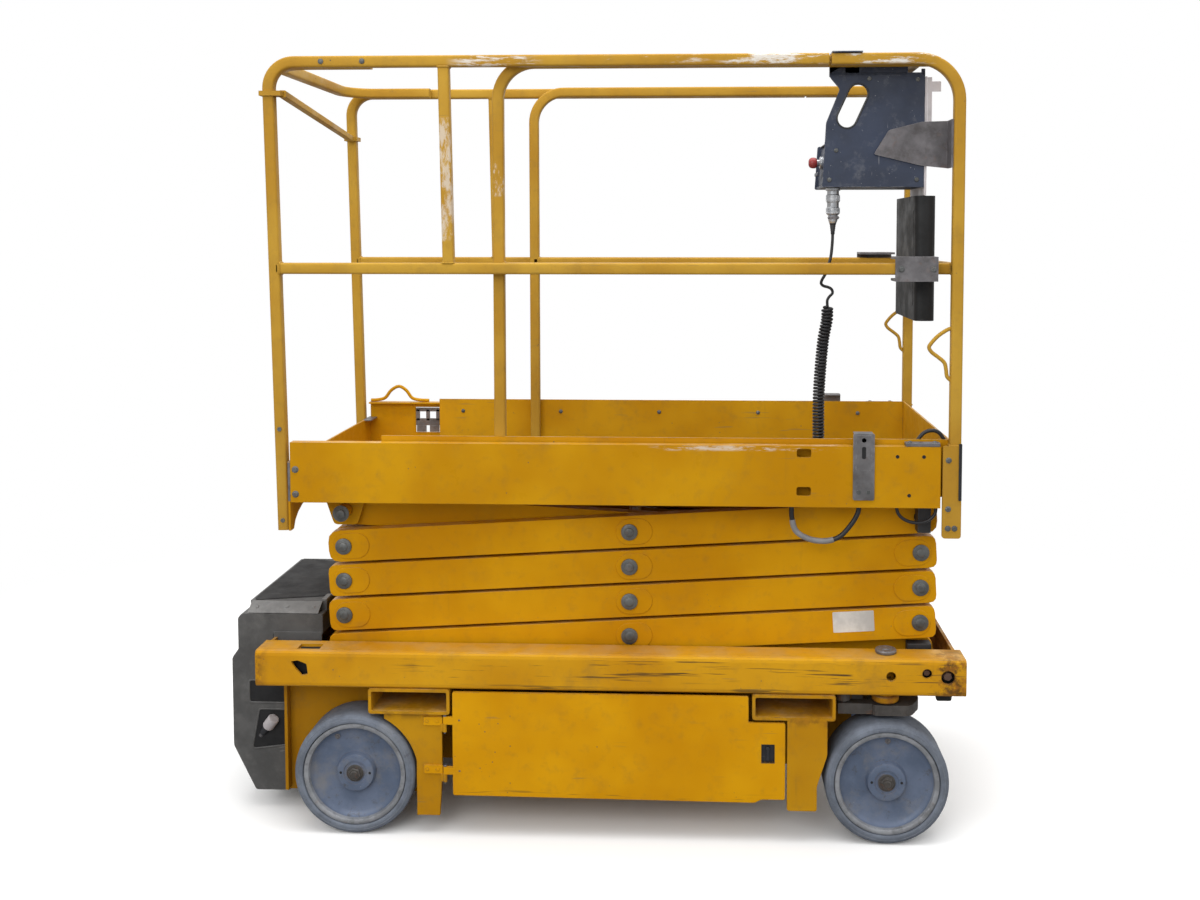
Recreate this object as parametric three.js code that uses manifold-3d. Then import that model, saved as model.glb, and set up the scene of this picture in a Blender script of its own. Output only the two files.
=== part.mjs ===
// Electric scissor lift with a slide-out deck extension, stowed.
// Millimetres, +Z up, origin on the floor under the middle of the machine's length and width.
// +X points to the steered end, where the deck extension comes out; the entry is at the -X end.
// A side is -1 for the near side (towards -Y) and +1 for the far side.
import * as THREE from "three";
import { mergeVertices } from "three/addons/utils/BufferGeometryUtils.js";
import Module from "manifold-3d";

const wasm = await Module();
wasm.setup();

// ---------------------------------------------------------------- driving dimensions
const halfWidth = 380;            // half the machine's width, at the outside of the beams
const seamGap = 0.3;              // gap between pieces that are bolted or welded face to face
const slideGap = 0.4;             // gap under a sliding or rolling pad
const boltedPlate = 6;            // plain sheet-steel plate

// wheels and axles
const wheelRadius = 154;
const tyreWidth = 114;
const tyreInset = 2;              // tyres inside the machine's side
const rearAxleX = -584;
const wheelbase = 1336;
const frontAxleX = rearAxleX + wheelbase;
const rimRadius = 130;
const wheelFacets = 28;
const spindleRadius = 19;
const kingpinInset = 55;          // kingpins inside the machine's side
const kingpinRadius = 14;
const steerArm = 105;
const tieRodRadius = 10;

// chassis
const beamRearX = -831;
const beamFrontX = 942;
const beamBottom = 378;
const beamHeight = 92;
const beamWall = 8;
const beamFlange = 82;            // width of the beam's top and bottom flanges
const deckPlate = 6;
const tubHalfWidth = 258;
const tubRearX = -792;
const tubFrontX = -430;
const tubBottom = 60;
const spineHalfWidth = 145;
const deckFrontX = 926;
const spineBottom = 100;
const frontSpineX = 690;          // front end of the narrow spine between the steered wheels
const frontSpineTop = 335;
const pocketHeight = 64.7;
const pocketWidth = 206;
const pocketWall = 8;
const rearPocketX = -442;
const frontPocketX = 520;

// swing-out doors
const hingeX = -352;
const hingeInset = 5;             // hinge axis inside the machine's side
const hingeHeights = [160, 288];
const knuckleRadius = 5;
const knuckleHeight = 20;
const doorRearX = -332;
const doorFrontX = 499;
const doorBottom = 108;
const doorTop = 372;
const doorWall = 8;
const trayDepth = 222;
const trayFrontX = 458;
const postBottom = 50;

// scissor stack
const stages = 4;
const armLength = 1474.7;         // pivot to pivot
const stageRise = 89.7;           // height of one folded stage
const rearPivotX = -629;
const firstPivotZ = 445;
const armHalfHeight = 41;
const armTip = 40;                // arm beyond its end pivots
const armCorner = 30;             // corners of the inner arms and of the top outer arms
const lowerArmCorner = 20;        // corners of the other outer arms
const innerArmInside = 210;
const armThickness = 35;
const armGap = 5;
const pinRadius = 17;
const boreRadius = 18;
const pinEnd = 3;                 // pins stand out of the outer arms by this much

// lift cylinder
const barrelRadius = 45;
const rodRadius = 26;
const cylinderFoot = -200;        // along the first inner arms from their middle, towards the front
const cylinderHead = 400;         // along the second inner arms from their middle
const lugInside = 40;
const lugRadius = 34;
const lugGap = 0.6;

// platform
const channelRearX = -735;
const channelFrontX = 873;
const channelBottom = 847;
const channelTop = 998;
const channelInset = 5;           // channels inside the machine's side
const channelWall = 7;
const channelFoot = 75;
const floorPlate = 7.7;
const endPlateBottom = 775;
const endPlateTop = 950;

// guard rails
const rail = 28;                  // square tube
const railInset = 25;             // outer rails' centre inside the machine's side
const railGap = 5;                // between the outer rails and the sliding inner ones
const topRailZ = 1938;
const midRailZ = 1431;
const railBend = 90;
const rearBend = 64;
const postStandoff = 2;           // rear posts behind the end plate
const rearPostLean = 22;          // how far the rear posts lean out over their height
const topRailEndX = 595;
const halfPostX = -339;
const ringGap = 0.9;              // entry bar's rings around the rear posts

// deck extension
const extensionRearX = -513;
const extensionFrontX = 903;
const extensionDeckZ = 868;
const extensionDeck = 8;
const toeBoardTop = 1011;
const toeBoardWall = 5;
const innerPostX = -215;
const frontPostX = 910;
const frontPostFoot = 772;
const crossRailX = 810;
const frontBend = 100;

// controls on the extension
const controlRearX = 600;
const controlFrontX = 836;
const controlBottom = 1632;
const controlTop = 1912;
const farPlateTop = 1745;
const backPlateBottom = 1611;
const controlNearY = -304;
const controlFarY = -100;
const plateWall = 4;
const cordRadius = 3.75;
const coilRadius = 15.5;

// ---------------------------------------------------------------- derived dimensions
const foldAngle = Math.asin(stageRise / armLength);
const armReach = armLength * Math.cos(foldAngle);
const frontPivotX = rearPivotX + armReach;
const innerArmOutside = innerArmInside + armThickness;
const outerArmInside = innerArmOutside + armGap;
const outerArmOutside = outerArmInside + armThickness;
const tyreOuterFace = halfWidth - tyreInset;
const kingpinY = halfWidth - kingpinInset;
const channelOutside = halfWidth - channelInset;
const outerRailY = halfWidth - railInset;
const innerRailY = outerRailY - rail - railGap;
const rearPostFootX = channelRearX - boltedPlate - postStandoff - rail / 2;
const beamInside = halfWidth - beamFlange;
const beamTop = beamBottom + beamHeight;
const deckTop = beamBottom + deckPlate;
const pocketTop = beamBottom - seamGap;
const pocketBottom = pocketTop - pocketHeight;
const rimInnerFace = tyreOuterFace - tyreWidth + 4;
const rimOuterFace = tyreOuterFace - 4;
const stackTop = firstPivotZ + stages * stageRise;

// ---------------------------------------------------------------- solids
function solidOf(geometry) {
  const bare = geometry.clone();
  bare.deleteAttribute("normal");
  bare.deleteAttribute("uv");
  const merged = mergeVertices(bare, 1e-3);
  const positions = new Float32Array(merged.attributes.position.array);
  const triangles = new Uint32Array(merged.index.array);
  if (signedVolume(positions, triangles) < 0) {
    flipTriangles(triangles);
  }
  return new wasm.Manifold(new wasm.Mesh({ numProp: 3, vertProperties: positions, triVerts: triangles }));
}

function signedVolume(positions, triangles) {
  const corners = [new THREE.Vector3(), new THREE.Vector3(), new THREE.Vector3()];
  let volume = 0;
  for (let t = 0; t < triangles.length; t += 3) {
    corners.forEach((corner, k) => corner.fromArray(positions, 3 * triangles[t + k]));
    volume += corners[0].dot(corners[1].clone().cross(corners[2])) / 6;
  }
  return volume;
}

function flipTriangles(triangles) {
  for (let t = 0; t < triangles.length; t += 3) {
    const second = triangles[t + 1];
    triangles[t + 1] = triangles[t + 2];
    triangles[t + 2] = second;
  }
}

function geometryOf(solid) {
  const mesh = solid.getMesh();
  const geometry = new THREE.BufferGeometry();
  const positions = new Float32Array(3 * mesh.numVert);
  for (let v = 0; v < mesh.numVert; v += 1) {
    for (let k = 0; k < 3; k += 1) {
      positions[3 * v + k] = mesh.vertProperties[v * mesh.numProp + k];
    }
  }
  geometry.setAttribute("position", new THREE.BufferAttribute(positions, 3));
  geometry.setIndex(new THREE.BufferAttribute(new Uint32Array(mesh.triVerts), 1));
  geometry.computeVertexNormals();
  return geometry;
}

function join(pieces) {
  return pieces.reduce((whole, piece) => whole.add(piece));
}

function cut(solid, tools) {
  return tools.reduce((left, tool) => left.subtract(tool), solid);
}

// low and high Y of what lies between two distances from the centre plane, on one side
function onSide(side, inside, outside) {
  return side < 0 ? [-outside, -inside] : [inside, outside];
}

function box([x0, x1], [y0, y1], [z0, z1]) {
  const geometry = new THREE.BoxGeometry(x1 - x0, y1 - y0, z1 - z0);
  geometry.translate((x0 + x1) / 2, (y0 + y1) / 2, (z0 + z1) / 2);
  return solidOf(geometry);
}

// a shape whose corners are rounded; a radius of 0 keeps them sharp
function roundedShape(corners, radius) {
  const shape = new THREE.Shape();
  const points = corners.map(([a, b]) => new THREE.Vector2(a, b));
  points.forEach((corner, i) => {
    const before = points[(i + points.length - 1) % points.length];
    const after = points[(i + 1) % points.length];
    const enter = before.clone().sub(corner).setLength(radius).add(corner);
    const leave = after.clone().sub(corner).setLength(radius).add(corner);
    if (i === 0) {
      shape.moveTo(enter.x, enter.y);
    } else {
      shape.lineTo(enter.x, enter.y);
    }
    if (radius > 0) {
      shape.quadraticCurveTo(corner.x, corner.y, leave.x, leave.y);
    }
  });
  shape.closePath();
  return shape;
}

const alongX = new THREE.Vector3(1, 0, 0);
const alongY = new THREE.Vector3(0, 1, 0);
const alongZ = new THREE.Vector3(0, 0, 1);

// a shape drawn in X and Z, as thick as the span given in Y
function plateXZ(shape, [y0, y1], segments = 3) {
  const geometry = new THREE.ExtrudeGeometry(shape, { depth: y1 - y0, bevelEnabled: false, curveSegments: segments });
  geometry.applyMatrix4(new THREE.Matrix4().makeBasis(alongX, alongZ, alongY.clone().negate()));
  geometry.translate(0, y1, 0);
  return solidOf(geometry);
}

// a shape drawn in X and Y, as thick as the span given in Z
function plateXY(shape, [z0, z1], segments = 3) {
  const geometry = new THREE.ExtrudeGeometry(shape, { depth: z1 - z0, bevelEnabled: false, curveSegments: segments });
  geometry.translate(0, 0, z0);
  return solidOf(geometry);
}

// a shape drawn in Y and Z, as thick as the span given in X
function plateYZ(shape, [x0, x1], segments = 3) {
  const geometry = new THREE.ExtrudeGeometry(shape, { depth: x1 - x0, bevelEnabled: false, curveSegments: segments });
  geometry.applyMatrix4(new THREE.Matrix4().makeBasis(alongY, alongZ, alongX));
  geometry.translate(x0, 0, 0);
  return solidOf(geometry);
}

// round bars along each axis
function barY(x, z, radius, [y0, y1], sides = 16) {
  const geometry = new THREE.CylinderGeometry(radius, radius, y1 - y0, sides);
  geometry.translate(x, (y0 + y1) / 2, z);
  return solidOf(geometry);
}

function barZ(x, y, radius, [z0, z1], sides = 16) {
  const geometry = new THREE.CylinderGeometry(radius, radius, z1 - z0, sides);
  geometry.rotateX(Math.PI / 2);
  geometry.translate(x, y, (z0 + z1) / 2);
  return solidOf(geometry);
}

function barX(y, z, radius, [x0, x1], sides = 16) {
  const geometry = new THREE.CylinderGeometry(radius, radius, x1 - x0, sides);
  geometry.rotateZ(Math.PI / 2);
  geometry.translate((x0 + x1) / 2, y, z);
  return solidOf(geometry);
}

// a path through stations, with the tube's section square to the path's mean direction at each
class StationPath extends THREE.Curve {
  constructor(stations) {
    super();
    this.stations = stations;
  }

  getPointAt(u, target = new THREE.Vector3()) {
    return target.copy(this.stations[Math.round(u * (this.stations.length - 1))]);
  }

  getPoint(t, target) {
    return this.getPointAt(t, target);
  }

  getTangentAt(u, target = new THREE.Vector3()) {
    const last = this.stations.length - 1;
    const i = Math.round(u * last);
    const here = this.stations[i];
    const sum = new THREE.Vector3();
    if (i > 0) {
      sum.add(here.clone().sub(this.stations[i - 1]).normalize());
    }
    if (i < last) {
      sum.add(this.stations[i + 1].clone().sub(here).normalize());
    }
    return target.copy(sum.normalize());
  }
}

// the stations of a tube that runs from corner to corner with round bends
function bentStations(corners, radius, bendSteps = 6) {
  const points = corners.map((corner) => new THREE.Vector3(...corner));
  const stations = [points[0]];
  for (let i = 1; i < points.length - 1; i += 1) {
    const back = points[i - 1].clone().sub(points[i]).normalize();
    const ahead = points[i + 1].clone().sub(points[i]).normalize();
    const halfTurn = back.angleTo(ahead) / 2;
    const setback = radius / Math.tan(halfTurn);
    const centre = back.clone().add(ahead).setLength(radius / Math.sin(halfTurn)).add(points[i]);
    const start = back.clone().multiplyScalar(setback).add(points[i]).sub(centre);
    const finish = ahead.clone().multiplyScalar(setback).add(points[i]).sub(centre);
    const axis = start.clone().cross(finish).normalize();
    const sweep = start.angleTo(finish);
    for (let k = 0; k <= bendSteps; k += 1) {
      stations.push(start.clone().applyAxisAngle(axis, (sweep * k) / bendSteps).add(centre));
    }
  }
  stations.push(points[points.length - 1]);
  return stations;
}

function sweep(section, stations) {
  const path = new StationPath(stations);
  const steps = stations.length - 1;
  return solidOf(new THREE.ExtrudeGeometry(section, { steps, extrudePath: path, curveSegments: 1 }));
}

function squareSection(width) {
  const half = width / 2;
  return roundedShape([[-half, -half], [half, -half], [half, half], [-half, half]], width / 7);
}

function roundSection(radius, sides) {
  const shape = new THREE.Shape();
  for (let k = 0; k < sides; k += 1) {
    const angle = (2 * Math.PI * k) / sides;
    const point = [radius * Math.cos(angle), radius * Math.sin(angle)];
    if (k === 0) {
      shape.moveTo(...point);
    } else {
      shape.lineTo(...point);
    }
  }
  shape.closePath();
  return shape;
}

function railTube(corners, radius = railBend) {
  return sweep(squareSection(rail), bentStations(corners, radius));
}

function ringY(side, profile, segments) {
  const points = profile.map(([radius, distance]) => new THREE.Vector2(radius, side * distance));
  return solidOf(new THREE.LatheGeometry(points, segments));
}

// ---------------------------------------------------------------- finishes
const paint = {
  yellow: { color: "#bf8a12", roughness: 0.5, metalness: 0.1 },
  grey: { color: "#57585a", roughness: 0.6, metalness: 0.3 },
  darkGrey: { color: "#3c3b3b", roughness: 0.7, metalness: 0 },
  steel: { color: "#8d9196", roughness: 0.35, metalness: 0.9 },
  tyre: { color: "#5d5f62", roughness: 0.85, metalness: 0 },
  rim: { color: "#6c7783", roughness: 0.5, metalness: 0.4 },
  blueGrey: { color: "#454c58", roughness: 0.5, metalness: 0.3 },
  pale: { color: "#b3aeb0", roughness: 0.5, metalness: 0.2 },
  black: { color: "#17181c", roughness: 0.6, metalness: 0 },
  red: { color: "#a3262b", roughness: 0.5, metalness: 0 },
};

const lift = new THREE.Group();

function place(name, solid, finish, position = [0, 0, 0], tilt = 0) {
  const material = new THREE.MeshStandardMaterial(paint[finish]);
  const mesh = new THREE.Mesh(geometryOf(solid), material);
  mesh.name = name;
  mesh.position.set(...position);
  mesh.rotation.y = tilt;
  lift.add(mesh);
}

const sides = [
  { side: -1, word: "near" },
  { side: 1, word: "far" },
];

// ---------------------------------------------------------------- chassis
const pocketClearance = seamGap;
const pockets = [
  { name: "fork_pocket_rear", x: rearPocketX },
  { name: "fork_pocket_front", x: frontPocketX },
];

function pocketSpan(x, extra = 0) {
  return [x - pocketWidth / 2 - extra, x + pocketWidth / 2 + extra];
}

function chassisFrame() {
  const trackStart = 90;
  const trackOuter = outerArmOutside + 1;
  const padBottom = firstPivotZ - 34;
  const endInside = halfWidth - beamWall - seamGap;
  const pieces = [
    // deck plate between the beams
    box([tubRearX, deckFrontX], [-beamInside + seamGap, beamInside - seamGap], [beamBottom, deckTop]),
    // end plates that close the beams
    box([deckFrontX - 1, deckFrontX + 7], [-endInside, endInside], [deckTop + 0.3, beamTop - beamWall - 0.3]),
    box([deckFrontX - 1, deckFrontX + 7], [-beamInside + seamGap, beamInside - seamGap],
      [beamBottom, beamTop - 12]),
    box([beamRearX + 4, beamRearX + 12], [-endInside, endInside], [deckTop + 0.3, beamTop - beamWall - 0.3]),
    box([beamRearX + 4, tubRearX + 1], [-beamInside + seamGap, beamInside - seamGap], [beamBottom, deckTop + 1]),
  ];
  for (const { side } of sides) {
    pieces.push(
      // tub sides behind and above the rear wheels
      box([tubRearX, tubFrontX], onSide(side, tubHalfWidth - 8, tubHalfWidth), [tubBottom, beamBottom + 1]),
      // out-turned edge behind the rear wheel
      box([tubRearX, tubRearX + 8], onSide(side, tubHalfWidth - 1, tubHalfWidth + 26), [tubBottom + 8, beamBottom - 20]),
      // spine sides between the trays
      box([tubFrontX - 1, frontPocketX], onSide(side, spineHalfWidth - 8, spineHalfWidth),
        [spineBottom, beamBottom + 1]),
      // front spine
      box([frontPocketX - 1, frontSpineX], onSide(side, spineHalfWidth - 8, spineHalfWidth),
        [spineBottom + 40, frontSpineTop]),
      // slide tracks for the lowest inner arms
      box([trackStart, deckFrontX - 30], onSide(side, innerArmOutside + 4, trackOuter), [deckTop - 1, padBottom - slideGap]),
      // ears with the lowest pivot pins
      plateXZ(roundedShape([
        [rearPivotX - 55, deckTop - 1], [rearPivotX + 55, deckTop - 1],
        [rearPivotX + 28, firstPivotZ + 34], [rearPivotX - 28, firstPivotZ + 34],
      ], 12), onSide(side, innerArmOutside - 8, innerArmOutside)),
      barY(rearPivotX, firstPivotZ, pinRadius, onSide(side, innerArmOutside - 2, outerArmOutside + 3)),
    );
  }
  pieces.push(
    box([tubRearX, tubRearX + 8], [-tubHalfWidth + 1, tubHalfWidth - 1], [tubBottom, beamBottom + 1]),
    box([tubFrontX - 8, tubFrontX], [-tubHalfWidth + 1, tubHalfWidth - 1], [tubBottom, beamBottom + 1]),
    box([tubRearX, tubFrontX], [-tubHalfWidth + 1, tubHalfWidth - 1], [tubBottom, tubBottom + 6]),
    box([tubFrontX - 1, frontPocketX], [-spineHalfWidth + 1, spineHalfWidth - 1], [spineBottom, spineBottom + 6]),
    box([frontPocketX - 8, frontPocketX], [-spineHalfWidth + 1, spineHalfWidth - 1],
      [spineBottom, frontSpineTop]),
    box([frontPocketX - 1, frontSpineX], [-spineHalfWidth + 1, spineHalfWidth - 1],
      [spineBottom + 40, spineBottom + 46]),
    box([frontSpineX - 8, frontSpineX], [-spineHalfWidth + 1, spineHalfWidth - 1],
      [spineBottom + 40, frontSpineTop]),
  );
  const cuts = pockets.map(({ x }) => box(pocketSpan(x, pocketClearance), [-halfWidth, halfWidth],
    [pocketBottom - pocketClearance, pocketTop + pocketClearance]));
  cuts.push(barY(rearAxleX, wheelRadius, spindleRadius + seamGap, [-halfWidth, halfWidth]));
  return cut(join(pieces), cuts);
}

function beam(side) {
  const outline = plateYZ(roundedShape([
    [side * halfWidth, beamBottom], [side * halfWidth, beamTop],
    [side * (halfWidth - 30), beamTop], [side * (halfWidth - 30), beamBottom],
  ], 12), [beamRearX, beamFrontX]);
  const flanges = box([beamRearX, beamFrontX], onSide(side, beamInside, halfWidth - 20), [beamBottom, beamTop]);
  const hollow = box([beamRearX - 1, beamFrontX + 1], onSide(side, beamInside - 1, halfWidth - beamWall),
    [beamBottom + 6, beamTop - beamWall]);
  const boss = barZ(frontAxleX, side * kingpinY, 24, [350, beamTop - 1]);
  const bore = barZ(frontAxleX, side * kingpinY, kingpinRadius + 1, [300, beamTop + 20]);
  const shell = outline.add(flanges).subtract(hollow).add(boss).subtract(bore);
  const through = onSide(side, halfWidth - 20, halfWidth + 20);
  const holes = [
    plateXZ(roundedShape([
      [-740, 444], [-722, 447], [-700, 438], [-697, 412], [-712, 408], [-728, 425],
    ], 3), through),
    barY(758, 428, 12, through, 16),
    barY(846, 436, 12, through, 16),
    barY(897, 427, 17, through, 18),
    box([-730, -673], onSide(side, halfWidth - 58, halfWidth - 22), [beamTop - 20, beamTop + 20]),
  ];
  return cut(shell, holes);
}

// the plate below the rear pocket that carries the door's hinge, cut round the rear wheel
function hingePost(side) {
  const arcRadius = wheelRadius + 8;
  const shape = new THREE.Shape();
  const kneeAngle = Math.acos(Math.min(1, (tubFrontX + 4 - rearAxleX) / arcRadius));
  const topAngle = Math.asin(Math.min(1, (pocketBottom - 16 - wheelRadius) / arcRadius));
  shape.moveTo(hingeX - 16, postBottom);
  shape.lineTo(hingeX - 9, pocketBottom * 0.5);
  shape.lineTo(hingeX - 9, pocketBottom + 1);
  shape.lineTo(rearAxleX + arcRadius * Math.cos(topAngle), pocketBottom + 1);
  shape.absarc(rearAxleX, wheelRadius, arcRadius, topAngle, kneeAngle, true);
  shape.lineTo(tubFrontX + 4, postBottom);
  shape.closePath();
  const knuckles = hingeHeights.map((z) => join([
    barZ(hingeX, side * (halfWidth - hingeInset), knuckleRadius, [z - knuckleHeight, z], 12),
    box([hingeX - 12, hingeX + 3], onSide(side, halfWidth - 12, halfWidth - hingeInset),
      [z - knuckleHeight, z]),
  ]));
  return join([plateXZ(shape, onSide(side, halfWidth - 21, halfWidth - 11), 8), ...knuckles]);
}

// the plate below the front pocket that the door latches on, clear of the steered wheel
function latchPost(side) {
  const shape = roundedShape([
    [doorFrontX + 5, 84], [frontAxleX - 174, 84], [frontAxleX - 174, 148],
    [frontAxleX - 149, 226], [frontAxleX - 149, pocketBottom + 1], [doorFrontX + 5, pocketBottom + 1],
  ], 6);
  return plateXZ(shape, onSide(side, halfWidth - 10, halfWidth));
}

function forkPocket(x, post) {
  const outside = plateXZ(roundedShape([
    [pocketSpan(x)[0], pocketBottom], [pocketSpan(x)[1], pocketBottom],
    [pocketSpan(x)[1], pocketTop], [pocketSpan(x)[0], pocketTop],
  ], 8), [-halfWidth, halfWidth]);
  const inside = plateXZ(roundedShape([
    [pocketSpan(x, -pocketWall)[0], pocketBottom + pocketWall], [pocketSpan(x, -pocketWall)[1], pocketBottom + pocketWall],
    [pocketSpan(x, -pocketWall)[1], pocketTop - pocketWall], [pocketSpan(x, -pocketWall)[0], pocketTop - pocketWall],
  ], 4), [-halfWidth - 1, halfWidth + 1]);
  return join([outside, post(-1), post(1)]).subtract(inside);
}

// moulded cover over the rear end, with a stepped top
function rearCover() {
  const shape = roundedShape([
    [-942, 169], [-884, 50], [tubRearX - seamGap, 50], [tubRearX - seamGap, 330],
    [beamRearX - seamGap, 330], [beamRearX - seamGap, beamTop - 2],
    [-700, beamTop - 2], [-700, 522], [-915, 522], [-925, 510], [-925, 425], [-942, 403],
  ], 5);
  const wide = plateXZ(shape, [-246, 246]).add(box([-905, -701], [-205, 205], [521, 545]));
  const floorSlot = box([beamRearX - 40, tubRearX + 100], [-300, 300], [340, deckTop + 3]);
  const backPlate = box([beamRearX - 1, beamRearX + 60], [-300, 300], [330, beamTop]);
  return cut(wide, [floorSlot, backPlate]);
}

place("chassis_frame", chassisFrame(), "yellow");
for (const { side, word } of sides) {
  place(`chassis_beam_${word}`, beam(side), "yellow");
}
place(pockets[0].name, forkPocket(rearPocketX, hingePost), "yellow");
place(pockets[1].name, forkPocket(frontPocketX, latchPost), "yellow");
place("rear_cover", rearCover(), "darkGrey");

// ---------------------------------------------------------------- wheels, axle and steering
function tyre(side) {
  const inner = tyreOuterFace - tyreWidth;
  const outer = tyreOuterFace;
  const shoulder = 16;
  return ringY(side, [
    [rimRadius + seamGap, inner + 4], [rimRadius + 6, inner], [wheelRadius - shoulder, inner],
    [wheelRadius - 4, inner + shoulder / 2], [wheelRadius, inner + shoulder],
    [wheelRadius, outer - shoulder], [wheelRadius - 4, outer - shoulder / 2], [wheelRadius - shoulder, outer],
    [rimRadius + 6, outer], [rimRadius + seamGap, outer - 4], [rimRadius + seamGap, inner + 4],
  ], wheelFacets);
}

function wheelRim(side) {
  const face = rimOuterFace;
  return ringY(side, [
    [spindleRadius + 1, rimInnerFace + 18], [48, rimInnerFace + 18], [60, rimInnerFace + 40], [106, rimInnerFace + 30],
    [114, rimInnerFace], [rimRadius, rimInnerFace], [rimRadius, face], [114, face], [106, face - 16], [54, face - 20],
    [46, face - 6], [18, face - 6], [18, face], [0, face], [0, face - 24], [spindleRadius + 1, face - 24],
    [spindleRadius + 1, rimInnerFace + 18],
  ], wheelFacets);
}

const wheels = [
  { word: "rear_near", side: -1, x: rearAxleX },
  { word: "rear_far", side: 1, x: rearAxleX },
  { word: "front_near", side: -1, x: frontAxleX },
  { word: "front_far", side: 1, x: frontAxleX },
];
for (const { word, side, x } of wheels) {
  place(`tyre_${word}`, tyre(side), "tyre", [x, 0, wheelRadius]);
  place(`rim_${word}`, wheelRim(side), "rim", [x, 0, wheelRadius]);
}

function spindle(x, side, from) {
  return barY(x, wheelRadius, spindleRadius, onSide(side, from, rimOuterFace - 25));
}

function rearAxle() {
  const inside = tubHalfWidth - 8 - seamGap;
  const tube = barY(rearAxleX, wheelRadius, 42, [-inside, inside]);
  return join([tube, spindle(rearAxleX, -1, inside - 1), spindle(rearAxleX, 1, inside - 1)]);
}
place("rear_axle", rearAxle(), "grey");

function knuckle(side) {
  const top = 344;
  const bottom = 318;
  return join([
    plateXY(roundedShape([
      [frontAxleX - 46, side * 228], [frontAxleX + 88, side * 228], [frontAxleX + 88, side * 300],
      [frontAxleX + 60, side * 352], [frontAxleX - 34, side * 352],
    ], 14), [bottom, top]),
    // leg inside the wheel, and the stub axle
    plateYZ(roundedShape([
      [side * 228, 112], [side * 254, 112], [side * 254, top], [side * 228, top],
    ], 4), [frontAxleX - 40, frontAxleX + 40]),
    spindle(frontAxleX, side, 250),
    // kingpin through the beam, with its cap on top
    barZ(frontAxleX, side * kingpinY, kingpinRadius, [top - 1, beamTop + 6]),
    barZ(frontAxleX, side * kingpinY, 23, [beamTop + 1, beamTop + 9]),
    // steering arm and its pin
    box([frontAxleX - steerArm - 14, frontAxleX - 20], [side * kingpinY - 16, side * kingpinY + 16], [bottom, top]),
    barZ(frontAxleX - steerArm, side * kingpinY, 8, [top - 1, top + 28], 16),
  ]);
}
for (const { side, word } of sides) {
  place(`steering_knuckle_${word}`, knuckle(side), "grey");
}

function tieRod() {
  const x = frontAxleX - steerArm;
  const bar = barY(x, 360, tieRodRadius, [-kingpinY + 8, kingpinY - 8], 16);
  const eyes = sides.map(({ side }) => barZ(x, side * kingpinY, 18, [350, 370]));
  const bores = sides.map(({ side }) => barZ(x, side * kingpinY, 9, [340, 380], 16));
  return cut(join([bar, ...eyes]), bores);
}
place("steering_tie_rod", tieRod(), "grey");

// ---------------------------------------------------------------- swing-out doors with their trays
function trayDoor(side) {
  const outline = roundedShape([
    [doorRearX, doorBottom], [doorFrontX - 75, doorBottom - 5], [doorFrontX - 58, doorBottom + 4],
    [doorFrontX, doorBottom + 4], [doorFrontX, pocketBottom - 7], [pocketSpan(frontPocketX)[0] - 9, pocketBottom - 7],
    [pocketSpan(frontPocketX)[0] - 9, doorTop], [doorRearX, doorTop],
  ], 5);
  const doorInside = halfWidth - doorWall;
  const pieces = [
    plateXZ(outline, onSide(side, doorInside, halfWidth)),
    // tray floor and its ends
    box([doorRearX + 4, trayFrontX], onSide(side, doorInside - trayDepth, doorInside + 1), [doorBottom, doorBottom + 5]),
    box([doorRearX + 4, doorRearX + 9], onSide(side, doorInside - trayDepth, doorInside + 1), [doorBottom, 190]),
    box([trayFrontX - 5, trayFrontX], onSide(side, doorInside - trayDepth, doorInside + 1), [doorBottom, 190]),
  ];
  for (const z of hingeHeights) {
    const span = [z + slideGap, z + knuckleHeight];
    pieces.push(
      box([hingeX, doorRearX + 30], onSide(side, halfWidth - hingeInset - 2, halfWidth), span),
      barZ(hingeX, side * (halfWidth - hingeInset), knuckleRadius, span, 12),
    );
  }
  return cut(join(pieces), [
    box([440, 473], onSide(side, halfWidth - 20, halfWidth + 5), [204, 252]),
  ]);
}

function trayBlock(side, length, height) {
  const inside = halfWidth - doorWall - 12;
  return box([doorRearX + 25, doorRearX + 25 + length], onSide(side, inside - 190, inside),
    [doorBottom + 5 + seamGap, doorBottom + 5 + seamGap + height]);
}

for (const { side, word } of sides) {
  place(`tray_door_${word}`, trayDoor(side), "yellow");
}
place("battery_block", trayBlock(-1, 640, 180), "black");
place("hydraulic_block", trayBlock(1, 560, 170), "grey");

// ---------------------------------------------------------------- scissor stack
function armShape(corner) {
  return roundedShape([
    [-armTip, -armHalfHeight], [armLength + armTip, -armHalfHeight],
    [armLength + armTip, armHalfHeight], [-armTip, armHalfHeight],
  ], corner);
}
const shaftTo = outerArmInside + 1;

// two outer arms; their front ends are joined by the shaft that the next inner arms turn on
function outerArms(stage) {
  const isTop = stage === stages - 1;
  const pieces = [];
  const cuts = [];
  for (const { side } of sides) {
    const span = onSide(side, outerArmInside, outerArmOutside);
    const through = onSide(side, outerArmInside - 5, outerArmOutside + 20);
    pieces.push(plateXZ(armShape(isTop ? armCorner : lowerArmCorner), span));
    cuts.push(barY(0, 0, boreRadius, through));
    if (isTop) {
      cuts.push(barY(armLength, 0, boreRadius, through));
    } else {
      pieces.push(barY(armLength / 2, 0, pinRadius, onSide(side, innerArmInside - 6, shaftTo)));
    }
  }
  pieces.push(barY(isTop ? armLength / 2 : armLength, 0, pinRadius, [-shaftTo, shaftTo]));
  return cut(join(pieces), cuts);
}

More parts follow.
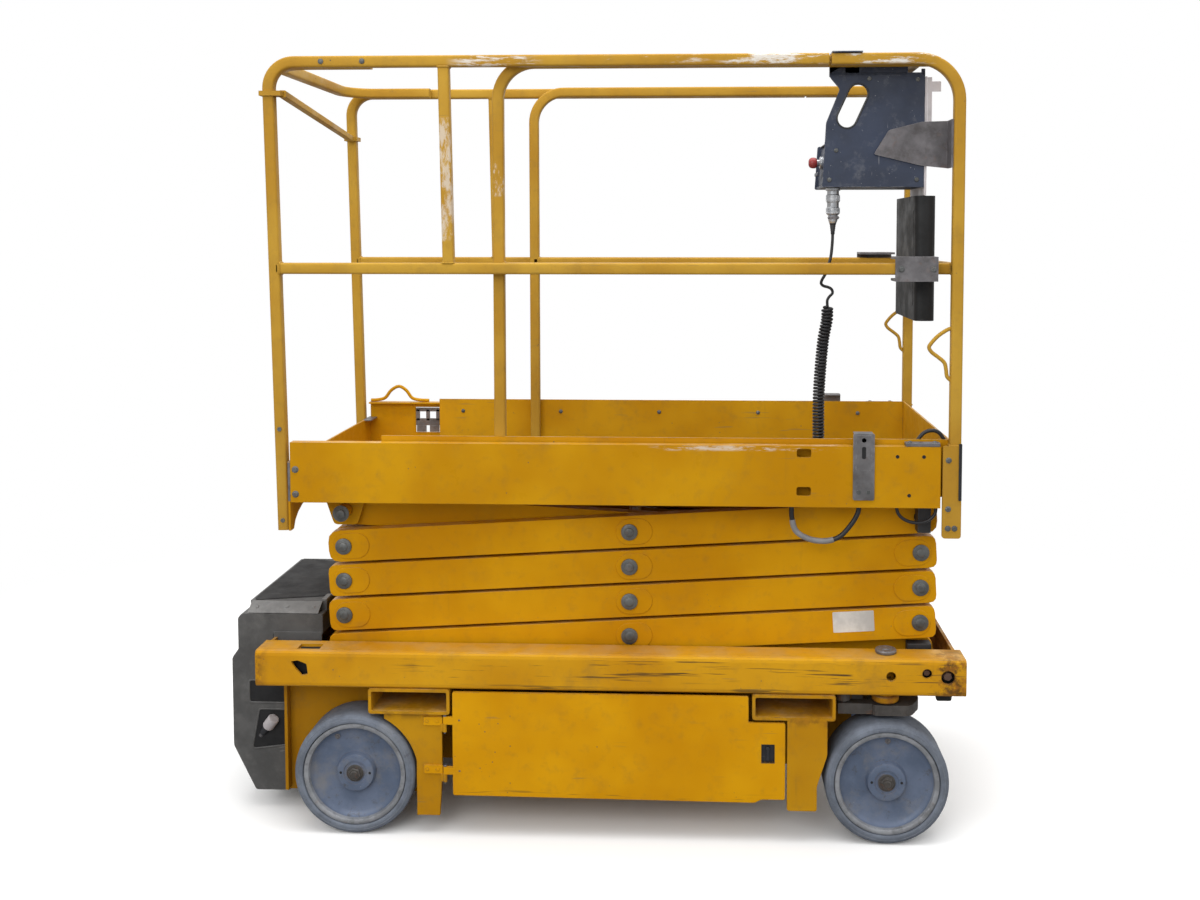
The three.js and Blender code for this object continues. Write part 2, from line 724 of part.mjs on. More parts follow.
// two inner arms; their rear ends are joined by a cross tube whose ends are pins
function innerArms(stage) {
  const pieces = [barY(0, 0, 28, [-innerArmInside - 1, innerArmInside + 1])];
  const cuts = [];
  for (const { side } of sides) {
    const span = onSide(side, innerArmInside, innerArmOutside);
    const through = onSide(side, innerArmInside - 4, innerArmOutside + 4);
    pieces.push(
      plateXZ(armShape(armCorner), span),
      barY(0, 0, pinRadius, onSide(side, innerArmOutside - 1, outerArmOutside + pinEnd)),
    );
    cuts.push(barY(armLength / 2, 0, boreRadius, through), barY(armLength, 0, boreRadius, through));
    if (stage === 0) {
      pieces.push(...cylinderLug(armLength / 2 + cylinderFoot, side));
    }
    if (stage === 1) {
      pieces.push(...cylinderLug(armLength / 2 + cylinderHead, side));
    }
  }
  return cut(join(pieces), cuts);
}

function cylinderLug(x, side) {
  return [
    barY(x, 0, 22, onSide(side, lugInside + 10, innerArmInside + 1)),
    barY(x, 0, lugRadius, onSide(side, lugInside, lugInside + 12)),
  ];
}

for (let stage = 0; stage < stages; stage += 1) {
  const low = firstPivotZ + stage * stageRise;
  place(`outer_arms_${stage + 1}`, outerArms(stage), "yellow", [rearPivotX, 0, low], -foldAngle);
  place(`inner_arms_${stage + 1}`, innerArms(stage), "yellow", [rearPivotX, 0, low + stageRise], foldAngle);
}

// the level slide blocks at the open ends of the stack, each pair on its own shaft
function slideShaft(z, blockSpan, blockHalf, low, high) {
  const blocks = sides.map(({ side }) => box([frontPivotX - blockHalf, frontPivotX + blockHalf],
    onSide(side, ...blockSpan), [low, high]));
  return join([barY(frontPivotX, z, pinRadius, [-blockSpan[1] + 2, blockSpan[1] - 2]), ...blocks]);
}

place("lower_slide_shaft", slideShaft(firstPivotZ, [innerArmOutside + 6, outerArmOutside], 30,
  firstPivotZ - 34, firstPivotZ + 34), "black");
place("upper_slide_shaft", slideShaft(stackTop, [outerArmOutside + 5, 330], 16,
  stackTop - 29, channelBottom - slideGap), "black");

// ---------------------------------------------------------------- lift cylinder
function alongInnerArm(stage, distance) {
  const middleZ = firstPivotZ + (stage + 0.5) * stageRise;
  const middleX = rearPivotX + armReach / 2;
  return [middleX + distance * Math.cos(foldAngle), middleZ - distance * Math.sin(foldAngle)];
}
const [footX, footZ] = alongInnerArm(0, cylinderFoot);
const [headX, headZ] = alongInnerArm(1, cylinderHead);
const cylinderSpan = Math.hypot(headX - footX, headZ - footZ);
const cylinderAngle = Math.atan2(headZ - footZ, headX - footX);
const barrelEnd = cylinderSpan - 85;

function cylinderBarrel() {
  const eye = barY(0, 0, 30, [-lugInside + lugGap, lugInside - lugGap]);
  const base = box([0, 60], [-26, 26], [-26, 26]);
  const tube = barX(0, 0, barrelRadius, [50, barrelEnd]);
  const bore = barX(0, 0, rodRadius + 0.5, [80, barrelEnd + 5]);
  return join([eye, base, tube]).subtract(bore);
}

function cylinderRod() {
  const eye = barY(cylinderSpan, 0, 30, [-lugInside + lugGap, lugInside - lugGap]);
  return barX(0, 0, rodRadius, [110, cylinderSpan - 10]).add(eye);
}

place("lift_cylinder_barrel", cylinderBarrel(), "black", [footX, 0, footZ], -cylinderAngle);
place("lift_cylinder_rod", cylinderRod(), "steel", [footX, 0, footZ], -cylinderAngle);

// ---------------------------------------------------------------- platform
const floorBottom = channelBottom + channelWall + seamGap;
const floorTop = floorBottom + floorPlate;
const floorRearX = channelRearX + 2;
const runnerTop = extensionDeckZ - slideGap;

function platformFloor() {
  const channelInside = channelOutside - channelWall - seamGap;
  const pieces = [box([floorRearX, channelFrontX - 4], [-channelInside, channelInside], [floorBottom, floorTop])];
  for (const { side } of sides) {
    pieces.push(
      // wear strips that the extension's deck slides on
      box([floorRearX + 60, channelFrontX - 4], onSide(side, 286, 320), [floorTop - 1, runnerTop]),
      // ears that hold the top pins of the stack
      plateXZ(roundedShape([
        [rearPivotX - 60, floorBottom + 1], [rearPivotX - 30, stackTop - 38],
        [rearPivotX + 30, stackTop - 38], [rearPivotX + 60, floorBottom + 1],
      ], 10), onSide(side, outerArmInside + 3, outerArmInside + 15)),
    );
  }
  return cut(join(pieces), [barY(rearPivotX, stackTop, boreRadius, [-halfWidth, halfWidth])]);
}

function sideChannel(side) {
  const web = onSide(side, channelOutside - channelWall, channelOutside);
  const pieces = [
    box([channelRearX, channelFrontX], web, [channelBottom, channelTop]),
    box([channelRearX, channelFrontX], onSide(side, channelOutside - channelFoot, channelOutside),
      [channelBottom, channelBottom + channelWall]),
    box([channelRearX, channelFrontX], onSide(side, channelOutside - 28, channelOutside),
      [channelTop - 5, channelTop]),
  ];
  const through = onSide(side, channelOutside - 15, channelOutside + 5);
  const slots = [[875, 897], [970, 991]].map(([low, high]) => plateXZ(roundedShape([
    [523, low], [558, low], [558, high], [523, high],
  ], 6), through));
  if (side > 0) {
    slots.push(box([-594, -516], through, [903, 981]));
  }
  return cut(join(pieces), slots);
}

function endPlate() {
  const shape = new THREE.Shape();
  const leg = channelOutside - 25;
  const archTop = channelBottom - 9;
  shape.moveTo(-channelOutside, endPlateBottom);
  shape.lineTo(-leg, endPlateBottom);
  shape.quadraticCurveTo(-leg + 20, archTop, -120, archTop);
  shape.lineTo(120, archTop);
  shape.quadraticCurveTo(leg - 20, archTop, leg, endPlateBottom);
  shape.lineTo(channelOutside, endPlateBottom);
  shape.lineTo(channelOutside, endPlateTop);
  shape.lineTo(-channelOutside, endPlateTop);
  shape.closePath();
  return plateYZ(shape, [channelRearX - boltedPlate - seamGap, channelRearX - seamGap], 6);
}

place("platform_floor", platformFloor(), "grey");
for (const { side, word } of sides) {
  place(`platform_channel_${word}`, sideChannel(side), "yellow");
}
place("platform_end_plate", endPlate(), "yellow");

// ---------------------------------------------------------------- fixed guard rails
const postTopX = rearPostFootX - rearPostLean;

function fixedSideRail(side) {
  const y = side * outerRailY;
  const midPostX = rearPostFootX - (rearPostLean * (midRailZ - endPlateBottom)) / (topRailZ - endPlateBottom);
  return join([
    railTube([[rearPostFootX, y, endPlateBottom], [postTopX, y, topRailZ], [topRailEndX, y, topRailZ]], rearBend),
    railTube([[midPostX, y, midRailZ], [channelFrontX - 90, y, midRailZ]]),
    railTube([[halfPostX - 4, y, topRailZ], [halfPostX + 4, y, midRailZ]]),
  ]);
}

function endRail() {
  const y = outerRailY - rail - seamGap;
  const back = postTopX - 2;
  return railTube([[-530, -y, topRailZ], [back, -y, topRailZ], [back, y, topRailZ], [-530, y, topRailZ]]);
}

function railGuide(side) {
  const outside = outerRailY + rail / 2 + seamGap;
  const half = 25;
  const ends = [channelFrontX - 115, channelFrontX - 12];
  return join([
    box(ends, onSide(side, outside, outside + 5), [midRailZ - half, midRailZ + half]),
    box(ends, onSide(side, innerRailY - 22, outside + 5), [midRailZ - half - 5, midRailZ - half + 1]),
    box(ends, onSide(side, innerRailY - 22, outside + 5), [midRailZ + half - 1, midRailZ + half + 5]),
  ]);
}

for (const { side, word } of sides) {
  place(`guard_rail_${word}`, fixedSideRail(side), "yellow");
  place(`rail_guide_${word}`, railGuide(side), "grey");
}
place("entry_end_rail", endRail(), "yellow");

// the bar across the entry, carried by a ring on each rear post
function entryBar() {
  const nearEnd = new THREE.Vector3(-745, -outerRailY, 1861);
  const farEnd = new THREE.Vector3(-776, outerRailY - rail / 2 - 3, 1803);
  const rings = [nearEnd, farEnd].map(({ x, y, z }) => {
    const postX = rearPostFootX - (rearPostLean * (z - endPlateBottom)) / (topRailZ - endPlateBottom);
    const postY = Math.sign(y) * outerRailY;
    const half = rail / 2 + ringGap;
    const outside = box([postX - half - 5, Math.max(postX + half + 5, x + 2)],
      [postY - half - 5, postY + half + 5], [z - 6, z + 6]);
    const inside = box([postX - half, postX + half], [postY - half, postY + half], [z - 9, z + 9]);
    return outside.subtract(inside);
  });
  return join([sweep(squareSection(18), [nearEnd, farEnd]), ...rings]);
}
place("entry_bar", entryBar(), "yellow");

// ---------------------------------------------------------------- deck extension
const toeInside = innerRailY + rail / 2 + seamGap;

function extensionDeckPlate() {
  const pieces = [box([extensionRearX, extensionFrontX - 7], [-toeInside - 1, toeInside + 1],
    [extensionDeckZ, extensionDeckZ + extensionDeck])];
  for (const { side } of sides) {
    pieces.push(box([extensionRearX, extensionFrontX - 7], onSide(side, toeInside, toeInside + toeBoardWall),
      [extensionDeckZ, toeBoardTop]));
  }
  return join(pieces);
}

function extensionFront() {
  const half = outerRailY - rail / 2 - seamGap;
  return box([extensionFrontX - 7 + seamGap, extensionFrontX - 1], [-half, half], [extensionDeckZ, toeBoardTop]);
}

function extensionRails() {
  const deckTopZ = extensionDeckZ + extensionDeck + seamGap;
  const pieces = [];
  for (const { side } of sides) {
    const inner = side * innerRailY;
    const outer = side * outerRailY;
    pieces.push(
      railTube([[innerPostX, inner, deckTopZ], [innerPostX, inner, topRailZ], [frontPostX - 60, inner, topRailZ]]),
      railTube([[innerPostX, inner, midRailZ], [frontPostX, inner, midRailZ]]),
      railTube([[topRailEndX + 6, outer, topRailZ], [frontPostX, outer, topRailZ], [frontPostX, outer, frontPostFoot]],
        frontBend),
      // weld tabs that join the inner rails to the outer ones
      box([topRailEndX + 10, topRailEndX + 50], onSide(side, innerRailY, outerRailY), [topRailZ - 8, topRailZ + 8]),
      box([crossRailX, crossRailX + 30], onSide(side, innerRailY, outerRailY), [topRailZ - 8, topRailZ + 8]),
      box([frontPostX - 12, frontPostX + 12], onSide(side, innerRailY, outerRailY), [midRailZ - 12, midRailZ + 12]),
      // foot plate of the front post
      plateXZ(roundedShape([
        [channelFrontX + 5, frontPostFoot], [frontPostX + 14, frontPostFoot],
        [frontPostX + 14, 1000], [channelFrontX + 5, 1000],
      ], 8), onSide(side, outerRailY + rail / 2 - 3, outerRailY + rail / 2 + 4)),
    );
  }
  pieces.push(
    railTube([[frontPostX, -outerRailY, midRailZ], [frontPostX, outerRailY, midRailZ]]),
    railTube([[crossRailX, -innerRailY, topRailZ], [crossRailX, innerRailY, topRailZ]]),
  );
  return join(pieces);
}

place("extension_deck", extensionDeckPlate(), "yellow");
place("extension_front_plate", extensionFront(), "yellow");
place("extension_guard_rail", extensionRails(), "yellow");

// ---------------------------------------------------------------- platform controls
function controlPlate() {
  const shape = roundedShape([
    [controlRearX + 2, controlTop], [controlRearX + 4, controlTop - 12], [controlRearX + 28, controlTop - 40],
    [controlRearX - 5, controlTop - 122], [controlRearX - 9, controlTop - 196],
    [controlRearX - 14, controlBottom], [controlFrontX, controlBottom], [controlFrontX, controlTop],
  ], 5);
  // hand hole
  const hole = new THREE.Path();
  const [lowX, lowZ, highX, highZ, radius] = [646, 1801, 673, 1860, 25];
  const tilt = Math.atan2(highZ - lowZ, highX - lowX);
  hole.absarc(highX, highZ, radius, tilt - Math.PI / 2, tilt + Math.PI / 2, false);
  hole.absarc(lowX, lowZ, radius, tilt + Math.PI / 2, tilt + 1.5 * Math.PI, false);
  hole.closePath();
  shape.holes.push(hole);
  return shape;
}

function controlBox() {
  const hookTop = topRailZ + rail / 2 + seamGap;
  const hook = [topRailEndX + 7, topRailEndX + 80];
  const farPlate = roundedShape([
    [controlRearX - 7, farPlateTop], [controlRearX - 14, controlBottom],
    [controlFrontX, controlBottom], [controlFrontX, farPlateTop],
  ], 5);
  return join([
    plateXZ(controlPlate(), [controlNearY, controlNearY + plateWall]),
    plateXZ(farPlate, [controlFarY - plateWall, controlFarY]),
    box([controlRearX - 10, controlFrontX], [controlNearY, controlFarY], [controlBottom, controlBottom + 6]),
    box([controlFrontX - 5, controlFrontX], [controlNearY, controlFarY], [controlBottom, controlTop]),
    // hook over the near top rail
    box(hook, [controlNearY, controlNearY + plateWall], [controlTop - 10, hookTop + 2]),
    box(hook, [-outerRailY - rail / 2 - 4, controlNearY + 2], [hookTop, hookTop + 3]),
    // operator's panel between the side plates
    plateXZ(roundedShape([
      [controlRearX - 6, controlBottom + 4], [controlRearX + 60, controlBottom + 4],
      [controlRearX + 60, 1740], [controlRearX + 2, 1740],
    ], 8), [controlNearY + 2, controlFarY - 2]),
  ]);
}

place("control_box", controlBox(), "blueGrey");
place("control_back_plate", box([controlFrontX + seamGap, controlFrontX + 6], [controlNearY, controlFarY],
  [backPlateBottom, 1902]), "pale");
place("emergency_stop_button", barX(-200, 1697, 14, [controlRearX - 40, controlRearX - 3], 20), "red");

function controlBracket() {
  const far = controlNearY - seamGap;
  const postFace = frontPostX - rail / 2 - seamGap;
  return join([
    plateXZ(roundedShape([
      [712, 1712], [828, 1684], [postFace, 1677], [postFace, 1793], [828, 1791], [748, 1771],
    ], 6), [far - 5, far]),
    box([postFace - 5, postFace], [-outerRailY - 6, far - 1], [1677, 1793]),
  ]);
}
place("control_bracket", controlBracket(), "grey");
place("document_box", plateXY(roundedShape([
  [818, -300], [868, -300], [868, 20], [818, 20],
], 10), [1300, backPlateBottom - seamGap]), "black");

// ---------------------------------------------------------------- cords
const connectorX = 619;
const cordY = -250;
place("cord_connector", barZ(connectorX, cordY, 17, [1543, controlBottom - seamGap], 20), "steel");

// the curly cord's outer shape, from its tight upper end down to its socket on the deck
const socketX = 588;
const coilTop = [607, cordY, 1335];
const coilRoute = [
  coilTop, [607, cordY, 1320], [607, cordY, 1304], [603, cordY, 1280], [598, cordY, 1253],
  [591, cordY, 1177], [587, cordY, 1100],
  [587, cordY, 1009], [socketX, cordY, 950], [socketX, cordY, 905],
];
const leadRoute = [
  [connectorX, cordY, 1543 - seamGap], [619, cordY, 1520], [618, cordY, 1490], [614, cordY, 1455],
  [607, cordY, 1430], [601, cordY, 1414], [593, cordY, 1400], [591, cordY, 1391], [597, cordY, 1385],
  [608, cordY, 1382], [617, cordY, 1377], [620, cordY, 1367], [612, cordY, 1358], [607, cordY, 1349],
  [607, cordY, 1335 + seamGap],
];

function cordTube(route, radius, steps, sides) {
  const curve = new THREE.CatmullRomCurve3(route.map((point) => new THREE.Vector3(...point)));
  return sweep(roundSection(radius, sides), curve.getSpacedPoints(steps));
}
place("cord_coil", cordTube(coilRoute, coilRadius, 16, 10), "black");
place("cord_lead", cordTube(leadRoute, cordRadius, 30, 8), "black");
place("cord_socket", barZ(socketX, cordY, 18, [extensionDeckZ + extensionDeck + seamGap, 905 - seamGap], 16), "black");

const loopY = -348;
const loopRoute = [
  [513, loopY, channelBottom - seamGap], [514, loopY, 815], [524, loopY, 782], [556, loopY, 762],
  [600, loopY, 757], [632, loopY, 768], [655, loopY, 792], [671, loopY, 816], [678, loopY, 834],
  [678, loopY, channelBottom - seamGap],
];
place("cable_loop", cordTube(loopRoute, 7, 22, 8), "black");

export default lift;
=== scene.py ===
# Blender looks for a stowed scissor lift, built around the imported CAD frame.
# Metres, +X to the steered end, +Y to the far side, +Z up. sy is -1 near and +1 far.
import math
import random

import bmesh
import bpy
from mathutils import Matrix, Vector


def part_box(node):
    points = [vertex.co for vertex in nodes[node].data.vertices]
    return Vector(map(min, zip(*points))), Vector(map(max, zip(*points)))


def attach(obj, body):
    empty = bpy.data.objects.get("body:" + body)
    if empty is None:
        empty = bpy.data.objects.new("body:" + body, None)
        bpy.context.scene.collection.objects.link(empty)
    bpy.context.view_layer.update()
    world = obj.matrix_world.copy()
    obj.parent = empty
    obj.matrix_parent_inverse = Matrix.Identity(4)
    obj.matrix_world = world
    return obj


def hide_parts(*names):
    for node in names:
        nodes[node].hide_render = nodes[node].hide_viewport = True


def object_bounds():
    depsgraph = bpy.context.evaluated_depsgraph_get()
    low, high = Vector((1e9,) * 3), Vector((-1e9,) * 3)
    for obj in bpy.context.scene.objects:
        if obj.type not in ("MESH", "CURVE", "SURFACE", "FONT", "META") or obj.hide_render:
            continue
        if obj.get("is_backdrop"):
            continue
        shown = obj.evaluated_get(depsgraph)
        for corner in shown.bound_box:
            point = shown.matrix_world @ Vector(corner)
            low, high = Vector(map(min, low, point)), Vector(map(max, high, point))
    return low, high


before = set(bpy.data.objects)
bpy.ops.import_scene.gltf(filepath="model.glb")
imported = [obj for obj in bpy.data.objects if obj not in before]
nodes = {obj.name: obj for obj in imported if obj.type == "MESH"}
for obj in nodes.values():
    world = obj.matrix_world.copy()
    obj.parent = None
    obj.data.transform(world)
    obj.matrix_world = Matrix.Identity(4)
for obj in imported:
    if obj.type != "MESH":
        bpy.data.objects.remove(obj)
cad_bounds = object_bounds()
random.seed(7)
SIDES = (("near", -1), ("far", 1))


def listed(value):
    return [listed(v) for v in value] if hasattr(value, "__len__") else float(value)


# ---------------------------------------------------------------- camera
camera_data = bpy.data.cameras.new("camera")
camera_data.lens = 36.66
camera_data.sensor_width = 36
camera_data.sensor_fit = "HORIZONTAL"
camera_data.shift_x = -0.0434
camera_data.shift_y = -0.123
camera_data.clip_end = 60
camera = bpy.data.objects.new("camera", camera_data)
camera.location = (0.2934, -3.3522, 1.5199)
camera.rotation_euler = (math.pi / 2 - 0.05718, 0, 0.04192)
bpy.context.scene.collection.objects.link(camera)
bpy.context.scene.camera = camera
bpy.context.scene.view_settings.view_transform = "Standard"


# ---------------------------------------------------------------- mesh builder
class Part:
    """Collects simple solids into one mesh; each solid keeps its own material index."""

    def __init__(self):
        self.verts = []
        self.faces = []
        self.marks = []
        self.mark = 0

    def add(self, verts, faces):
        start = len(self.verts)
        self.verts += [tuple(v) for v in verts]
        for face in faces:
            self.faces.append([start + i for i in face])
            self.marks.append(self.mark)
        return self

    def box(self, low, high):
        low, high = [min(a, b) for a, b in zip(low, high)], [max(a, b) for a, b in zip(low, high)]
        v = [(x, y, z) for x in (low[0], high[0]) for y in (low[1], high[1]) for z in (low[2], high[2])]
        return self.add(v, [(0, 1, 3, 2), (4, 6, 7, 5), (0, 4, 5, 1), (2, 3, 7, 6), (0, 2, 6, 4),
                            (1, 5, 7, 3)])

    def rings(self, rings, closed=False, caps=True):
        n = len(rings[0])
        faces = []
        count = len(rings)
        for k in range(count if closed else count - 1):
            a, b = k * n, ((k + 1) % count) * n
            for i in range(n):
                j = (i + 1) % n
                faces.append((a + i, a + j, b + j, b + i))
        if caps and not closed:
            faces.append(tuple(reversed(range(n))))
            faces.append(tuple((count - 1) * n + i for i in range(n)))
        return self.add([v for ring in rings for v in ring], faces)

    def lathe(self, centre, axis, profile, sides=32, caps=True):
        """Turns (radius, height) pairs round an axis through centre."""
        centre, axis = Vector(centre), Vector(axis).normalized()
        u = axis.orthogonal().normalized()
        w = axis.cross(u)
        rings = []
        for radius, height in profile:
            radius = max(radius, 1e-5)
            rings.append([
                centre + axis * height + (u * math.cos(t) + w * math.sin(t)) * radius
                for t in (2 * math.pi * i / sides for i in range(sides))
            ])
        return self.rings(rings, caps=caps)

    def cylinder(self, start, end, radius, sides=24, round_off=0.0):
        start, end = Vector(start), Vector(end)
        length = (end - start).length
        if round_off:
            r = round_off
            profile = [(radius - r, 0), (radius - r * 0.3, r * 0.3), (radius, r), (radius, length - r),
                       (radius - r * 0.3, length - r * 0.3), (radius - r, length)]
        else:
            profile = [(radius, 0), (radius, length)]
        return self.lathe(start, end - start, profile, sides)

    def hex_bolt(self, place, out, across, height, washer=0.0):
        place, out = Vector(place), Vector(out).normalized()
        if washer:
            self.lathe(place, out, [(washer, 0), (washer, height * 0.22), (washer - 0.0008, height * 0.3)],
                       28)
        r = across / math.sqrt(3)
        self.lathe(place, out, [(r, height * 0.25), (r, height * 0.86), (r * 0.86, height)], 6)
        return self

    def tube(self, points, radius, sides=12, closed=False):
        return self.sweep(points, [(radius * math.cos(t), radius * math.sin(t))
                                   for t in (2 * math.pi * i / sides for i in range(sides))], closed)

    def sweep(self, points, section, closed=False, side_hint=None):
        points = [Vector(p) for p in points]
        count = len(points)
        tangents = []
        for i in range(count):
            if closed:
                t = points[(i + 1) % count] - points[i - 1]
            else:
                t = points[min(i + 1, count - 1)] - points[max(i - 1, 0)]
            tangents.append(t.normalized())
        normal = Vector(side_hint) if side_hint else tangents[0].orthogonal()
        rings = []
        for p, t in zip(points, tangents):
            normal = (normal - t * normal.dot(t)).normalized()
            other = t.cross(normal)
            rings.append([p + normal * a + other * b for a, b in section])
        return self.rings(rings, closed=closed)

    def prism(self, outline, start, end, plane="XZ"):
        """Extrudes a 2-D outline between start and end along the axis the plane leaves out."""
        def at(p, h):
            return {"XZ": (p[0], h, p[1]), "XY": (p[0], p[1], h), "YZ": (h, p[0], p[1])}[plane]
        return self.rings([[at(p, start) for p in outline], [at(p, end) for p in outline]])

    def build(self, name, materials, body, bevel=0.0, smooth=35, slot=None, segments=2, replaces=()):
        mesh = bpy.data.meshes.new(name)
        mesh.from_pydata(self.verts, [], self.faces)
        if not isinstance(materials, (list, tuple)):
            materials = [materials]
        for material in materials:
            mesh.materials.append(material)
        mesh.polygons.foreach_set("material_index", self.marks)
        mesh.validate()
        mesh.update()
        bm = bmesh.new()
        bm.from_mesh(mesh)
        bmesh.ops.recalc_face_normals(bm, faces=bm.faces)
        bm.to_mesh(mesh)
        bm.free()
        mesh.shade_smooth()
        mesh.set_sharp_from_angle(angle=math.radians(smooth))
        piece = bpy.data.objects.new(name, mesh)
        bpy.context.scene.collection.objects.link(piece)
        if bevel:
            soften(piece, bevel, segments, weld=False)
        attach(piece, body)
        if replaces:
            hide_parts(*replaces)
        return piece


def soften(piece, width, segments=2, weld=True, angle=35):
    if weld:
        merge = piece.modifiers.new("weld", "WELD")
        merge.merge_threshold = 0.00002
    bevel = piece.modifiers.new("bevel", "BEVEL")
    bevel.width = width
    bevel.segments = segments
    bevel.limit_method = "ANGLE"
    bevel.angle_limit = math.radians(angle)
    bevel.harden_normals = True
    normals = piece.modifiers.new("normals", "WEIGHTED_NORMAL")
    normals.keep_sharp = True


def rounded(points, radius, steps=5):
    """Rounds the corners of a closed 2-D outline."""
    out = []
    count = len(points)
    for i, p in enumerate(points):
        a, b, c = Vector(points[i - 1]), Vector(p), Vector(points[(i + 1) % count])
        r = radius[i] if isinstance(radius, (list, tuple)) else radius
        ta, tc = (a - b), (c - b)
        angle = ta.angle(tc)
        cut = min(r / math.tan(angle / 2), ta.length * 0.49, tc.length * 0.49) if r else 0
        if cut < 1e-6:
            out.append(tuple(b))
            continue
        start, end = b + ta.normalized() * cut, b + tc.normalized() * cut
        for k in range(steps + 1):
            t = k / steps
            out.append(tuple(start * (1 - t) ** 2 + b * 2 * t * (1 - t) + end * t ** 2))
    return out


def bent(corners, radius, steps=10):
    """A path through corners with a round bend of that radius at each inner corner."""
    corners = [Vector(c) for c in corners]
    path = [corners[0]]
    for i in range(1, len(corners) - 1):
        a, b, c = corners[i - 1], corners[i], corners[i + 1]
        da, dc = (a - b).normalized(), (c - b).normalized()
        half = da.angle(dc) / 2
        cut = radius / math.tan(half)
        centre = b + (da + dc).normalized() * (radius / math.sin(half))
        start, end = b + da * cut, b + dc * cut
        u, v = start - centre, end - centre
        total = u.angle(v)
        for k in range(steps + 1):
            t = k / steps
            w = (u * math.sin((1 - t) * total) + v * math.sin(t * total)) / math.sin(total)
            path.append(centre + w)
    path.append(corners[-1])
    return path


def spline(points, steps):
    """An even walk along a smooth curve through the points."""
    pts = [Vector(p) for p in points]
    dense = []
    for i in range(len(pts) - 1):
        p0 = pts[i - 1] if i else pts[0] * 2 - pts[1]
        p1, p2 = pts[i], pts[i + 1]
        p3 = pts[i + 2] if i + 2 < len(pts) else pts[-1] * 2 - pts[-2]
        d1 = max((p1 - p0).length, 1e-6) ** 0.5
        d2 = max((p2 - p1).length, 1e-6) ** 0.5
        d3 = max((p3 - p2).length, 1e-6) ** 0.5
        m1 = (p1 - p0) / d1 - (p2 - p0) / (d1 + d2) + (p2 - p1) / d2
        m2 = (p2 - p1) / d2 - (p3 - p1) / (d2 + d3) + (p3 - p2) / d3
        m1, m2 = m1 * d2, m2 * d2
        for k in range(40):
            t = k / 40
            dense.append(p1 * (2 * t**3 - 3 * t**2 + 1) + m1 * (t**3 - 2 * t**2 + t)
                         + p2 * (-2 * t**3 + 3 * t**2) + m2 * (t**3 - t**2))
    dense.append(pts[-1])
    along = [0.0]
    for a, b in zip(dense, dense[1:]):
        along.append(along[-1] + (b - a).length)
    out, k = [], 0
    for i in range(steps + 1):
        want = along[-1] * i / steps
        while k < len(dense) - 2 and along[k + 1] < want:
            k += 1
        span = along[k + 1] - along[k]
        t = (want - along[k]) / span if span > 0 else 0
        out.append(dense[k].lerp(dense[k + 1], min(max(t, 0), 1)))
    return out


def rounded_square(half, corner, steps=4):
    section = []
    for cx, cy, start in ((1, 1, 0), (-1, 1, 90), (-1, -1, 180), (1, -1, 270)):
        for k in range(steps + 1):
            t = math.radians(start + 90 * k / steps)
            section.append((cx * (half - corner) + corner * math.cos(t),
                            cy * (half - corner) + corner * math.sin(t)))
    return section


def mm(*values):
    return tuple(v / 1000 for v in values)


